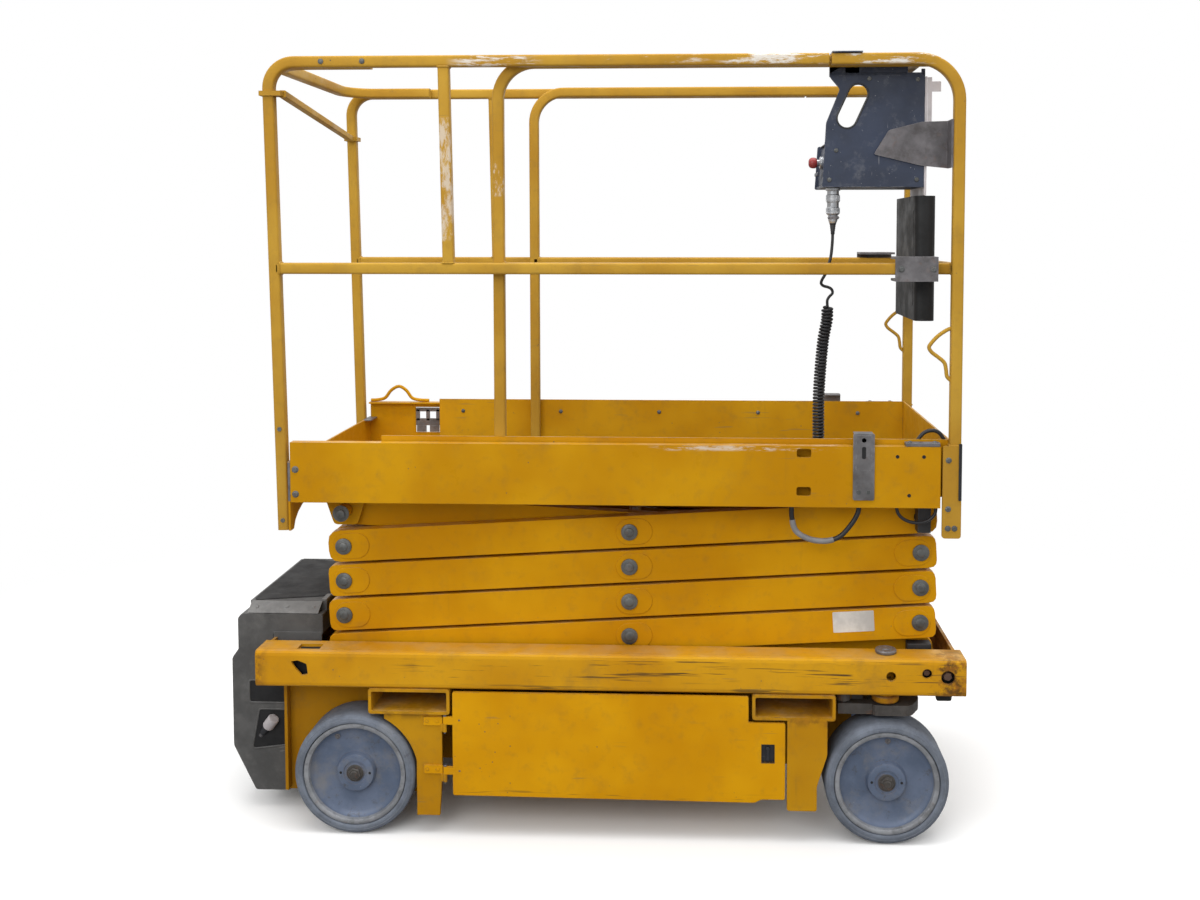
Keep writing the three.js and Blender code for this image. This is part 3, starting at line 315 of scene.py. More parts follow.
# ---------------------------------------------------------------- materials
class Nodes:
    """A short way to write a procedural material."""

    def __init__(self, name):
        self.material = bpy.data.materials.new(name)
        self.material.use_nodes = True
        self.tree = self.material.node_tree
        self.bsdf = next(n for n in self.tree.nodes if n.type == "BSDF_PRINCIPLED")
        self.coord = self.tree.nodes.new("ShaderNodeTexCoord").outputs["Object"]
        split = self.tree.nodes.new("ShaderNodeSeparateXYZ")
        self.link(self.coord, split.inputs[0])
        self.x, self.y, self.z = split.outputs

    def link(self, a, b):
        self.tree.links.new(a, b)

    def put(self, value, socket):
        if hasattr(value, "node"):
            self.link(value, socket)
        elif hasattr(value, "__len__"):
            missing_alpha = len(value) == 3 and len(socket.default_value) == 4
            socket.default_value = tuple(value) + ((1.0,) if missing_alpha else ())
        else:
            socket.default_value = value

    def math(self, operation, a, b=0.0, clamp=False):
        node = self.tree.nodes.new("ShaderNodeMath")
        node.operation = operation
        node.use_clamp = clamp
        self.put(a, node.inputs[0])
        self.put(b, node.inputs[1])
        return node.outputs[0]

    def scaled(self, factors):
        node = self.tree.nodes.new("ShaderNodeMapping")
        self.link(self.coord, node.inputs["Vector"])
        node.inputs["Scale"].default_value = factors
        return node.outputs[0]

    def noise(self, scale, stretch=(1, 1, 1), detail=5.0, rough=0.6, shift=0.0):
        node = self.tree.nodes.new("ShaderNodeTexNoise")
        node.noise_dimensions = "4D"
        node.inputs["W"].default_value = shift
        node.inputs["Scale"].default_value = scale
        node.inputs["Detail"].default_value = detail
        node.inputs["Roughness"].default_value = rough
        self.link(self.scaled(stretch), node.inputs["Vector"])
        return node.outputs["Fac"]

    def spots(self, scale, stretch=(1, 1, 1), shift=0.0):
        node = self.tree.nodes.new("ShaderNodeTexVoronoi")
        node.voronoi_dimensions = "4D"
        node.inputs["W"].default_value = shift
        node.inputs["Scale"].default_value = scale
        self.link(self.scaled(stretch), node.inputs["Vector"])
        return node.outputs["Distance"]

    def ramp(self, value, low, high, out_low=0.0, out_high=1.0):
        node = self.tree.nodes.new("ShaderNodeMapRange")
        node.interpolation_type = "SMOOTHSTEP"
        node.clamp = True
        self.put(value, node.inputs["Value"])
        for label, amount in (("From Min", low), ("From Max", high), ("To Min", out_low),
                              ("To Max", out_high)):
            node.inputs[label].default_value = amount
        return node.outputs["Result"]

    def band(self, value, low, high, soft):
        up = self.ramp(value, low - soft, low + soft)
        down = self.ramp(value, high - soft, high + soft, 1.0, 0.0)
        return self.math("MULTIPLY", up, down)

    def product(self, *values):
        out = values[0]
        for value in values[1:]:
            out = self.math("MULTIPLY", out, value)
        return out

    def either(self, *values):
        out = values[0]
        for value in values[1:]:
            out = self.math("MAXIMUM", out, value)
        return out

    def mix(self, factor, a, b):
        node = self.tree.nodes.new("ShaderNodeMix")
        node.data_type = "RGBA"
        self.put(factor, node.inputs[0])
        colours = [s for s in node.inputs if s.type == "RGBA"]
        self.put(a, colours[0])
        self.put(b, colours[1])
        return next(s for s in node.outputs if s.type == "RGBA")

    def facing(self):
        """The surface's own direction, as three numbers."""
        geometry = self.tree.nodes.new("ShaderNodeNewGeometry")
        split = self.tree.nodes.new("ShaderNodeSeparateXYZ")
        self.link(geometry.outputs["Normal"], split.inputs[0])
        return split.outputs

    def edges(self, radius=0.004):
        """1 on outer and inner edges, 0 on flat faces."""
        round_normal = self.tree.nodes.new("ShaderNodeBevel")
        round_normal.samples = 4
        round_normal.inputs["Radius"].default_value = radius
        geometry = self.tree.nodes.new("ShaderNodeNewGeometry")
        dot = self.tree.nodes.new("ShaderNodeVectorMath")
        dot.operation = "DOT_PRODUCT"
        self.link(round_normal.outputs[0], dot.inputs[0])
        self.link(geometry.outputs["True Normal"], dot.inputs[1])
        return self.ramp(dot.outputs["Value"], 0.86, 0.995, 1.0, 0.0)

    def finish(self, colour, roughness=0.5, metal=0.0, height=None, bump=0.3, distance=0.001, specular=0.5,
               coat=0.0):
        self.put(colour, self.bsdf.inputs["Base Color"])
        self.put(roughness, self.bsdf.inputs["Roughness"])
        self.put(metal, self.bsdf.inputs["Metallic"])
        self.bsdf.inputs["Specular IOR Level"].default_value = specular
        self.bsdf.inputs["Coat Weight"].default_value = coat
        self.bsdf.inputs["Coat Roughness"].default_value = 0.25
        if height is not None:
            node = self.tree.nodes.new("ShaderNodeBump")
            node.inputs["Strength"].default_value = bump
            node.inputs["Distance"].default_value = distance
            self.link(height, node.inputs["Height"])
            self.link(node.outputs[0], self.bsdf.inputs["Normal"])
        return self.material


DIRT = (0.10, 0.075, 0.045)
GREY_DUST = (0.42, 0.36, 0.26)


def yellow(name, colour, dirt=0.5, wear=0.5, chips=0.3, scuffs=None, pale=None, rust=None, dust=0.3,
           rough=0.42,
           streaks=0.5):
    """Worn machine paint: tone drift, running dirt, worn edges, chips, and any extra marks by place."""
    m = Nodes(name)
    base = Vector(colour)
    light = tuple(min(c * k, 1) for c, k in zip(base, (1.06, 1.10, 1.6)))
    dull = tuple(c * k for c, k in zip(base, (0.86, 0.80, 1.0)))
    out = m.mix(m.ramp(m.noise(3.1, detail=3.0, shift=1.0), 0.35, 0.68), dull, light)
    out = m.mix(m.product(m.ramp(m.noise(38, detail=6.0, shift=2.0), 0.50, 0.75), 0.16), out, DIRT)
    grime = m.product(m.ramp(m.noise(9, detail=8.0, rough=0.7, shift=3.0), 0.50, 0.72), 0.30 * dirt)
    out = m.mix(grime, out, DIRT)
    run = m.product(m.ramp(m.noise(46, (1, 1, 0.05), detail=4.0, shift=4.0), 0.58, 0.76),
                    m.ramp(m.noise(5, detail=3.0, shift=5.0), 0.45, 0.65), 0.45 * streaks)
    out = m.mix(run, out, (0.17, 0.10, 0.03))
    edge = m.edges()
    lines = m.product(edge, m.ramp(m.noise(26, detail=6.0, rough=0.7, shift=6.0), 0.50, 0.66), wear)
    out = m.mix(m.product(edge, 0.34 * wear), out, (0.21, 0.12, 0.02))
    out = m.mix(lines, out, (0.075, 0.06, 0.045))
    chip = m.product(m.ramp(m.spots(74, shift=1.0), 0.10, 0.16, 1.0, 0.0),
                     m.ramp(m.noise(6, detail=3.0, shift=7.0), 0.52, 0.62), min(chips * 1.6, 1.0))
    out = m.mix(chip, out, (0.13, 0.095, 0.06))
    scratch = m.product(m.ramp(m.noise(52, (0.12, 1, 1.9), detail=2.0, shift=8.0), 0.66, 0.70),
                        m.ramp(m.noise(4, detail=2.0, shift=9.0), 0.48, 0.60), 0.6 * chips)
    out = m.mix(scratch, out, (0.20, 0.15, 0.07))
    top = m.ramp(m.facing()[2], 0.6, 0.95)
    out = m.mix(m.product(top, m.ramp(m.noise(13, detail=7.0, shift=10.0), 0.36, 0.70), dust), out, GREY_DUST)
    worn = m.either(lines, chip)
    for low, high, height_low, height_high, strength, tone in scuffs or ():
        place = m.product(m.band(m.x, low, high, 0.05), m.band(m.z, height_low, height_high, 0.006))
        hatch = m.either(m.ramp(m.noise(60, (0.055, 1, 1.5), detail=3.0, rough=0.75, shift=11.0), 0.55, 0.62),
                         m.ramp(m.noise(21, (0.12, 1, 2.4), detail=5.0, rough=0.8, shift=12.0), 0.60, 0.66))
        mark = m.product(place, hatch, strength)
        out = m.mix(mark, out, tone)
        worn = m.either(worn, mark)
    for low, high, height_low, height_high, strength in pale or ():
        along = high - low > height_high - height_low
        soft, reach = (0.03, -0.336) if along else (0.004, -0.300)
        place = m.product(m.band(m.x, low, high, soft), m.band(m.z, height_low, height_high, 0.004),
                          m.ramp(m.y, reach - 0.006, reach, 1.0, 0.0))
        hatch = m.ramp(m.noise(42 if along else 16, (0.16, 1, 1) if along else (1, 1, 0.35), detail=7.0,
                               rough=0.78,
                               shift=13.0), 0.50, 0.58)
        out = m.mix(m.product(place, hatch, strength), out, (0.72, 0.70, 0.66))
    for low, high, height_low, height_high, strength in rust or ():
        place = m.product(m.band(m.x, low, high, 0.02), m.band(m.z, height_low, height_high, 0.012))
        patch = m.ramp(m.noise(17, detail=9.0, rough=0.72, shift=14.0), 0.44, 0.56)
        tone = m.mix(m.ramp(m.noise(55, detail=5.0, shift=15.0), 0.4, 0.6), (0.055, 0.026, 0.018),
                     (0.24, 0.085, 0.02))
        mark = m.product(place, patch, strength)
        out = m.mix(mark, out, tone)
        worn = m.either(worn, mark)
    roughness = m.ramp(m.noise(15, detail=5.0, shift=16.0), 0.3, 0.7, rough - 0.10, rough + 0.16)
    roughness = m.math("ADD", roughness, m.product(worn, 0.25))
    peel = m.math("ADD", m.product(m.noise(150, detail=2.0, shift=17.0), 0.10),
                  m.product(m.noise(7, detail=2.0, shift=18.0), 0.5))
    height = m.math("SUBTRACT", peel, m.product(worn, 0.30))
    m.bsdf.inputs["Specular Tint"].default_value = (1.0, 0.62, 0.15, 1)
    return m.finish(out, roughness, 0.0, height, 0.35, 0.0012, 0.28)


def worn_metal(name, colour, rough=0.45, metal=0.7, rust=0.3, grime=0.5, grain=None):
    m = Nodes(name)
    base = Vector(colour)
    out = m.mix(m.ramp(m.noise(18, detail=6.0, shift=1.0), 0.35, 0.68), tuple(base * 0.72),
                tuple(min(c * 1.25, 1) for c in base))
    out = m.mix(m.product(m.ramp(m.noise(33, detail=8.0, rough=0.7, shift=2.0), 0.50, 0.66), 0.7 * grime),
                out,
                (0.045, 0.038, 0.032))
    brown = m.product(m.ramp(m.noise(24, detail=9.0, rough=0.75, shift=3.0), 0.54, 0.64), rust)
    out = m.mix(brown, out, m.mix(m.ramp(m.noise(90, detail=3.0, shift=4.0), 0.4, 0.6),
                                  (0.07, 0.032, 0.018), (0.20, 0.085, 0.035)))
    edge = m.product(m.edges(0.002), m.ramp(m.noise(60, detail=4.0, shift=5.0), 0.42, 0.6), 0.6)
    out = m.mix(edge, out, tuple(min(c * 2.2 + 0.05, 1) for c in base))
    scratch = m.ramp(m.noise(110, grain or (0.1, 1, 1), detail=3.0, shift=6.0), 0.35, 0.7)
    height = m.math("ADD", m.product(scratch, 0.3), m.product(m.noise(200, detail=4.0, shift=7.0), 0.6))
    roughness = m.math("ADD", m.ramp(m.noise(30, detail=5.0, shift=8.0), 0.3, 0.7, rough - 0.12,
                                     rough + 0.16), m.product(brown, 0.3))
    return m.finish(out, roughness, m.math("SUBTRACT", metal, m.product(brown, metal), True), height, 0.25,
                    0.0006)


def coloured_box(name, colour, speckle=0.7, rough=0.5):
    """Blue-grey enamel with pale speckles, scratches and rubbed edges."""
    m = Nodes(name)
    base = Vector(colour)
    out = m.mix(m.ramp(m.noise(8, detail=6.0, shift=1.0), 0.35, 0.66), tuple(base * 0.80), tuple(base * 1.22))
    cloud = m.product(m.ramp(m.noise(20, detail=8.0, rough=0.7, shift=2.0), 0.52, 0.68), 0.35)
    out = m.mix(cloud, out, (0.16, 0.165, 0.18))
    dots = m.product(m.ramp(m.spots(150, shift=1.0), 0.10, 0.17, 1.0, 0.0),
                     m.ramp(m.noise(14, detail=4.0, shift=3.0), 0.46, 0.58), speckle)
    lines = m.product(m.ramp(m.noise(85, (1.0, 1, 0.16), detail=2.0, shift=4.0), 0.67, 0.71),
                      m.ramp(m.noise(9, detail=2.0, shift=5.0), 0.46, 0.58), speckle)
    big = m.product(m.ramp(m.spots(40, (1, 1, 0.7), shift=2.0), 0.07, 0.12, 1.0, 0.0),
                    m.ramp(m.noise(11, detail=3.0, shift=12.0), 0.50, 0.56), speckle)
    marks = m.either(dots, lines, big)
    out = m.mix(marks, out, (0.46, 0.46, 0.47))
    edge = m.product(m.edges(0.003), m.ramp(m.noise(45, detail=5.0, shift=6.0), 0.42, 0.60), 0.8)
    out = m.mix(edge, out, (0.30, 0.30, 0.31))
    height = m.math("ADD", m.product(m.noise(170, detail=3.0, shift=7.0), 0.35), m.product(marks, 0.35))
    return m.finish(out, m.ramp(m.noise(25, detail=5.0, shift=8.0), 0.3, 0.7, rough - 0.12, rough + 0.14),
                    0.0, height, 0.3, 0.0008)


def rubber(name, colour=(0.140, 0.160, 0.198), dust=(0.27, 0.285, 0.31), rough=0.78):
    m = Nodes(name)
    base = Vector(colour)
    out = m.mix(m.ramp(m.noise(14, detail=7.0, rough=0.7, shift=1.0), 0.36, 0.66), tuple(base * 0.78),
                tuple(base * 1.22))
    out = m.mix(m.product(m.ramp(m.noise(7, detail=8.0, rough=0.72, shift=2.0), 0.48, 0.68), 0.50), out, dust)
    marks = m.product(m.ramp(m.noise(60, (1, 0.2, 1), detail=3.0, shift=3.0), 0.64, 0.70), 0.5)
    out = m.mix(marks, out, tuple(base * 0.4))
    edge = m.product(m.edges(0.004), m.ramp(m.noise(30, detail=6.0, shift=4.0), 0.40, 0.62), 0.45)
    out = m.mix(edge, out, dust)
    height = m.math("ADD", m.product(m.noise(260, detail=4.0, shift=5.0), 0.4),
                    m.product(m.noise(40, detail=5.0, shift=6.0), 0.7))
    return m.finish(out, m.ramp(m.noise(20, shift=7.0), 0.3, 0.7, rough - 0.12, min(rough + 0.12, 1)), 0.0,
                    height, 0.4, 0.001, 0.3)


def plastic(name, colour, rough=0.5, grain=420, dusty=0.3, dust=(0.20, 0.195, 0.185), scratch=0.3, bump=0.25):
    m = Nodes(name)
    base = Vector(colour)
    out = m.mix(m.ramp(m.noise(10, detail=5.0, shift=1.0), 0.35, 0.66), tuple(base * 0.78),
                tuple(min(c * 1.25, 1) for c in base))
    out = m.mix(m.product(m.ramp(m.noise(12, detail=8.0, rough=0.7, shift=2.0), 0.46, 0.72), dusty), out,
                dust)
    lines = m.product(m.ramp(m.noise(75, (0.15, 1, 1), detail=2.0, shift=3.0), 0.66, 0.70),
                      m.ramp(m.noise(7, detail=2.0, shift=4.0), 0.44, 0.58), scratch)
    out = m.mix(lines, out, tuple(min(c + 0.16, 1) for c in base))
    edge = m.product(m.edges(0.003), m.ramp(m.noise(34, detail=5.0, shift=5.0), 0.42, 0.62),
                     0.5 * (scratch + 0.3))
    out = m.mix(edge, out, tuple(min(c * 1.6 + 0.08, 1) for c in base))
    height = m.math("ADD", m.product(m.noise(grain, detail=3.0, shift=6.0), 0.6),
                    m.product(m.noise(9, detail=3.0, shift=7.0), 0.4))
    return m.finish(out, m.ramp(m.noise(18, detail=5.0, shift=8.0), 0.3, 0.7, rough - 0.12,
                                min(rough + 0.14, 1)), 0.0, height, bump, 0.0008, 0.45)


def rim_paint(name):
    m = Nodes(name)
    out = m.mix(m.ramp(m.noise(12, detail=6.0, shift=1.0), 0.35, 0.66), (0.088, 0.119, 0.185),
                (0.133, 0.169, 0.249))
    out = m.mix(m.product(m.ramp(m.noise(8, detail=8.0, rough=0.75, shift=2.0), 0.48, 0.70), 0.6), out,
                (0.23, 0.215, 0.195))
    splash = m.product(m.ramp(m.noise(30, detail=8.0, rough=0.8, shift=3.0), 0.56, 0.64), 0.6)
    out = m.mix(splash, out, (0.075, 0.07, 0.065))
    marks = m.product(m.ramp(m.spots(95, shift=1.0), 0.08, 0.14, 1.0, 0.0), m.ramp(m.noise(20, shift=4.0),
            0.5, 0.6), 0.7)
    out = m.mix(marks, out, (0.36, 0.35, 0.33))
    edge = m.product(m.edges(0.003), m.ramp(m.noise(40, detail=5.0, shift=5.0), 0.40, 0.60), 0.7)
    out = m.mix(edge, out, (0.15, 0.105, 0.08))
    height = m.math("ADD", m.product(m.noise(130, detail=4.0, shift=6.0), 0.5), m.product(splash, 0.3))
    return m.finish(out, m.ramp(m.noise(22, shift=7.0), 0.3, 0.7, 0.42, 0.68), 0.15, height, 0.35, 0.001)


M = {
    "beam": yellow("paint_beam", (0.600, 0.292, 0.008), dirt=0.9, wear=0.95, chips=0.8, dust=0.30,
                   scuffs=[(-0.45, 0.36, 0.405, 0.462, 0.72, (0.045, 0.034, 0.024)),
                           (-0.25, 0.70, 0.425, 0.446, 0.70, (0.040, 0.030, 0.022)),
                           (-0.80, 0.85, 0.377, 0.392, 0.70, (0.060, 0.040, 0.022)),
                           (0.60, 0.93, 0.384, 0.462, 0.80, (0.050, 0.036, 0.026))],
                   rust=[(0.86, 0.945, 0.378, 0.472, 0.85), (-0.84, -0.81, 0.378, 0.472, 0.6)]),
    "chassis": yellow("paint_chassis", (0.440, 0.205, 0.006), dirt=1.3, wear=0.9, chips=0.6, dust=0.5,
                      streaks=0.9,
                      rust=[(0.60, 0.95, 0.30, 0.48, 0.7)]),
    "pocket": yellow("paint_pocket", (0.500, 0.240, 0.006), dirt=1.3, wear=1.0, chips=1.0, dust=0.4,
                     streaks=1.0,
                     rust=[(-0.56, -0.33, 0.300, 0.322, 0.45), (0.40, 0.64, 0.300, 0.322, 0.45),
                           (-0.56, -0.33, 0.368, 0.380, 0.35), (0.40, 0.64, 0.368, 0.380, 0.35)]),
    "door": yellow("paint_door", (0.650, 0.305, 0.003), dirt=0.35, wear=0.9, chips=0.55, dust=0.15,
                   streaks=0.25,
                   scuffs=[(-0.30, 0.45, 0.103, 0.122, 0.7, (0.07, 0.045, 0.022))]),
    "arm": yellow("paint_arm", (0.600, 0.280, 0.003), dirt=0.5, wear=0.45, chips=0.25, dust=0.35,
                  streaks=0.45, rough=0.38),
    "channel": yellow("paint_channel", (0.545, 0.264, 0.004), dirt=0.55, wear=0.7, chips=0.5, dust=0.30,
                      streaks=0.45,
                      pale=[(0.18, 0.62, 0.986, 0.999, 0.6)], rough=0.36),
    "deck": yellow("paint_deck", (0.560, 0.272, 0.006), dirt=1.1, wear=0.9, chips=0.8, dust=0.5, streaks=0.8),
    "rail": yellow("paint_rail", (0.475, 0.268, 0.026), dirt=0.7, wear=0.75, chips=0.6, dust=0.15,
                   streaks=0.5,
                   pale=[(-0.31, -0.12, 1.922, 1.953, 0.85), (0.02, 0.30, 1.930, 1.953, 0.55),
                         (0.34, 0.90, 1.926, 1.953, 0.95), (-0.36, -0.32, 1.500, 1.800, 0.55),
                         (-0.232, -0.198, 1.610, 1.700, 0.6), (-0.232, -0.198, 1.835, 1.865, 0.5)]),
    "steel": worn_metal("dull_steel", (0.22, 0.22, 0.215), 0.42, 0.75, 0.25),
    "bolt": worn_metal("bolt_grey", (0.125, 0.13, 0.128), 0.5, 0.55, 0.30, 0.6),
    "plate_grey": worn_metal("plate_grey", (0.150, 0.142, 0.150), 0.5, 0.45, 0.25, 0.5),
    "strap": worn_metal("strap_zinc", (0.165, 0.160, 0.165), 0.48, 0.4, 0.20, 0.45),
    "latch": worn_metal("latch_zinc", (0.165, 0.158, 0.165), 0.48, 0.5, 0.30, 0.55),
    "connector": worn_metal("connector_silver", (0.52, 0.54, 0.57), 0.32, 0.85, 0.0, 0.25),
    "chrome": worn_metal("cylinder_rod_chrome", (0.62, 0.62, 0.62), 0.16, 1.0, 0.0, 0.2, (1, 1, 0.1)),
    "axle": worn_metal("axle_grey", (0.075, 0.068, 0.062), 0.6, 0.25, 0.7, 0.8),
    "black_metal": worn_metal("black_metal", (0.028, 0.028, 0.030), 0.5, 0.2, 0.15, 0.3),
    "box": coloured_box("enamel_box", (0.023, 0.033, 0.063)),
    "pale": plastic("pale_plate", (0.46, 0.43, 0.44), 0.5, 200, 0.4, (0.30, 0.29, 0.28), 0.5),
    "tyre": rubber("tyre_rubber"),
    "rim": rim_paint("rim_enamel"),
    "cover": plastic("cover_moulding", (0.078, 0.077, 0.076), 0.58, 300, 0.45, (0.17, 0.167, 0.16), 0.4, 0.4),
    "cover_light": plastic("cover_ledge", (0.17, 0.168, 0.165), 0.62, 300, 0.5, (0.26, 0.255, 0.25), 0.4,
                           0.4),
    "grip": plastic("cover_grip", (0.020, 0.020, 0.021), 0.85, 90, 0.35, (0.08, 0.078, 0.075), 0.2, 1.0),
    "black": plastic("black_plastic", (0.016, 0.017, 0.021), 0.38, 260, 0.25, (0.075, 0.08, 0.088), 0.2),
    "cord": plastic("cord_jacket", (0.013, 0.013, 0.015), 0.42, 500, 0.2, (0.06, 0.06, 0.06), 0.1),
    "red": plastic("red_plastic", (0.32, 0.030, 0.030), 0.38, 400, 0.25, (0.20, 0.12, 0.11), 0.2),
    "decal": plastic("blank_label", (0.60, 0.585, 0.56), 0.42, 500, 0.35, (0.42, 0.36, 0.28), 0.3, 0.1),
    "hydraulic": plastic("hydraulic_grey", (0.10, 0.10, 0.105), 0.5, 200, 0.5, (0.14, 0.12, 0.10), 0.3),
    "battery": plastic("battery_case", (0.030, 0.031, 0.036), 0.45, 220, 0.4, (0.12, 0.115, 0.105), 0.3),
    "rust": worn_metal("rusted_steel", (0.10, 0.055, 0.035), 0.7, 0.1, 0.9, 0.5),
    "rim_edge": worn_metal("rim_flange", (0.25, 0.26, 0.28), 0.5, 0.25, 0.25, 0.6),
    "sleeve": plastic("cable_sleeve", (0.24, 0.235, 0.24), 0.5, 300, 0.5, (0.12, 0.11, 0.10), 0.4),
    "case": plastic("document_moulding", (0.0034, 0.0037, 0.0045), 0.58, 260, 0.15, (0.030, 0.032, 0.036),
                    0.1),
    # a lighter copy of the case moulding for its lit -X face: painted light
    "case_lit_panel": plastic("document_panel_painted_light", (0.009, 0.0095, 0.011), 0.60, 260, 0.15, (0.040, 0.042, 0.046),
                          0.1),
    "blue": plastic("blue_lead", (0.03, 0.08, 0.26), 0.45, 400, 0.2, (0.10, 0.10, 0.12), 0.1),
    # near-black painted shade for holes, recesses and the insides of the beams
    "dark": plastic("painted_shade_black", (0.006, 0.006, 0.007), 0.7, 200, 0.1, (0.03, 0.03, 0.03), 0.0),
}


# ---------------------------------------------------------------- cords
CORD_Y = -250
CORD_RADIUS = 0.00375
HELIX_RADIUS = 0.01175
TURNS = 52
lead = spline([mm(x, CORD_Y, z) for x, z in (
    (619, 1542.7), (619, 1520), (618, 1490), (614, 1455), (607, 1430), (601, 1414), (593, 1400), (591, 1391),
    (597, 1385), (608, 1382), (617, 1377), (620, 1367), (612, 1358), (607, 1349), (607, 1335.3))], 60)
spine = spline([mm(x, CORD_Y, z) for x, z in (
    (607, 1335), (607, 1320), (607, 1304), (603, 1280), (598, 1253), (591, 1177), (587, 1100), (587, 1009),
    (588, 950), (588, 905))], TURNS * 16)
curl = []
across = Vector((1, 0, 0))
for i, point in enumerate(spine[1:], 1):
    ahead = (spine[min(i + 1, len(spine) - 1)] - spine[i - 1]).normalized()
    across = (across - ahead * across.dot(ahead)).normalized()
    turn = 2 * math.pi * TURNS * i / (len(spine) - 1)
    ends = min(i, len(spine) - 1 - i) / 14
    reach = HELIX_RADIUS * (1 if ends >= 1 else ends * ends * (3 - 2 * ends))
    curl.append(point + across * (reach * math.cos(turn)) + ahead.cross(across) * (reach * math.sin(turn)))
cord_path = lead + curl
control_cord = Part().tube(cord_path, CORD_RADIUS, 8).build(
    "control_cord", M["cord"], "extension", smooth=80, slot="black_plastic", replaces=("cord_lead",
            "cord_coil"))

cable_y = -348
cable_path = spline([mm(x, cable_y, z) for x, z in (
    (513, 846.7), (514, 815), (524, 782), (556, 762), (600, 757), (632, 768), (655, 792), (671, 816),
    (678, 834),
    (678, 846.7))], 60)
loop_cable = Part().tube(cable_path, 0.0062, 14).build(
    "loop_cable", M["cord"], "platform", smooth=80, slot="black_plastic", replaces=("cable_loop",))

relief = Part()
relief.lathe(mm(619, CORD_Y, 1542.5), (0, 0, -1), [
    (0.0085, -0.004), (0.0085, 0), (0.0078, 0.003), (0.0070, 0.004), (0.0072, 0.008), (0.0064, 0.009),
    (0.0066, 0.013),
    (0.0058, 0.014), (0.0060, 0.018), (0.0052, 0.019), (0.0050, 0.026), (0.0039, 0.028)], 20)
relief = relief.build("cord_relief_upper", M["black"], "extension", smooth=30, slot="black_plastic")
foot_relief = Part()
foot_relief.lathe(mm(588, CORD_Y, 904.5), (0, 0, 1), [
    (0.013, -0.002), (0.013, 0.004), (0.010, 0.006), (0.0095, 0.012), (0.0075, 0.014), (0.0070, 0.020),
    (0.0045, 0.022)], 20)
foot_relief = foot_relief.build("cord_relief_lower", M["black"], "extension", smooth=30, slot="black_plastic")


# ---------------------------------------------------------------- CAD nodes that stay
def dress(names, material, bevel=0.0, segments=2):
    for name in names:
        node = nodes[name]
        node.data.materials.clear()
        node.data.materials.append(M[material])
        for polygon in node.data.polygons:
            polygon.material_index = 0
        if bevel:
            soften(node, bevel, segments)


WHEELS = [f"{end}_{word}" for end in ("rear", "front") for word, _ in SIDES]
dress(["chassis_beam_near", "chassis_beam_far"], "beam", 0.0025)
dress(["chassis_frame"], "chassis", 0.0015)
dress(["fork_pocket_rear", "fork_pocket_front"], "pocket", 0.0018)
dress(["tray_door_near", "tray_door_far"], "door", 0.0015)
dress([f"{word}_arms_{k}" for word in ("outer", "inner") for k in range(1, 5)], "arm", 0.005, 3)
dress(["platform_channel_near", "platform_channel_far", "platform_end_plate"], "channel", 0.0018)
dress(["extension_deck", "extension_front_plate"], "deck", 0.0012)
dress(["platform_floor"], "channel", 0.001)
dress(["rail_guide_near", "rail_guide_far"], "latch", 0.0012)
dress(["entry_bar"], "rail", 0.003)
dress(["rear_axle", "steering_tie_rod", "steering_knuckle_near", "steering_knuckle_far"], "axle", 0.002)
dress(["rear_cover"], "cover", 0.010, 4)
dress(["control_box"], "box", 0.0012)
dress(["control_back_plate"], "pale", 0.0012)
dress(["control_bracket"], "plate_grey", 0.0010)
dress(["lower_slide_shaft", "upper_slide_shaft", "lift_cylinder_barrel"], "black_metal", 0.002)
dress(["lift_cylinder_rod"], "chrome")
dress(["battery_block"], "battery")
dress(["hydraulic_block"], "hydraulic")


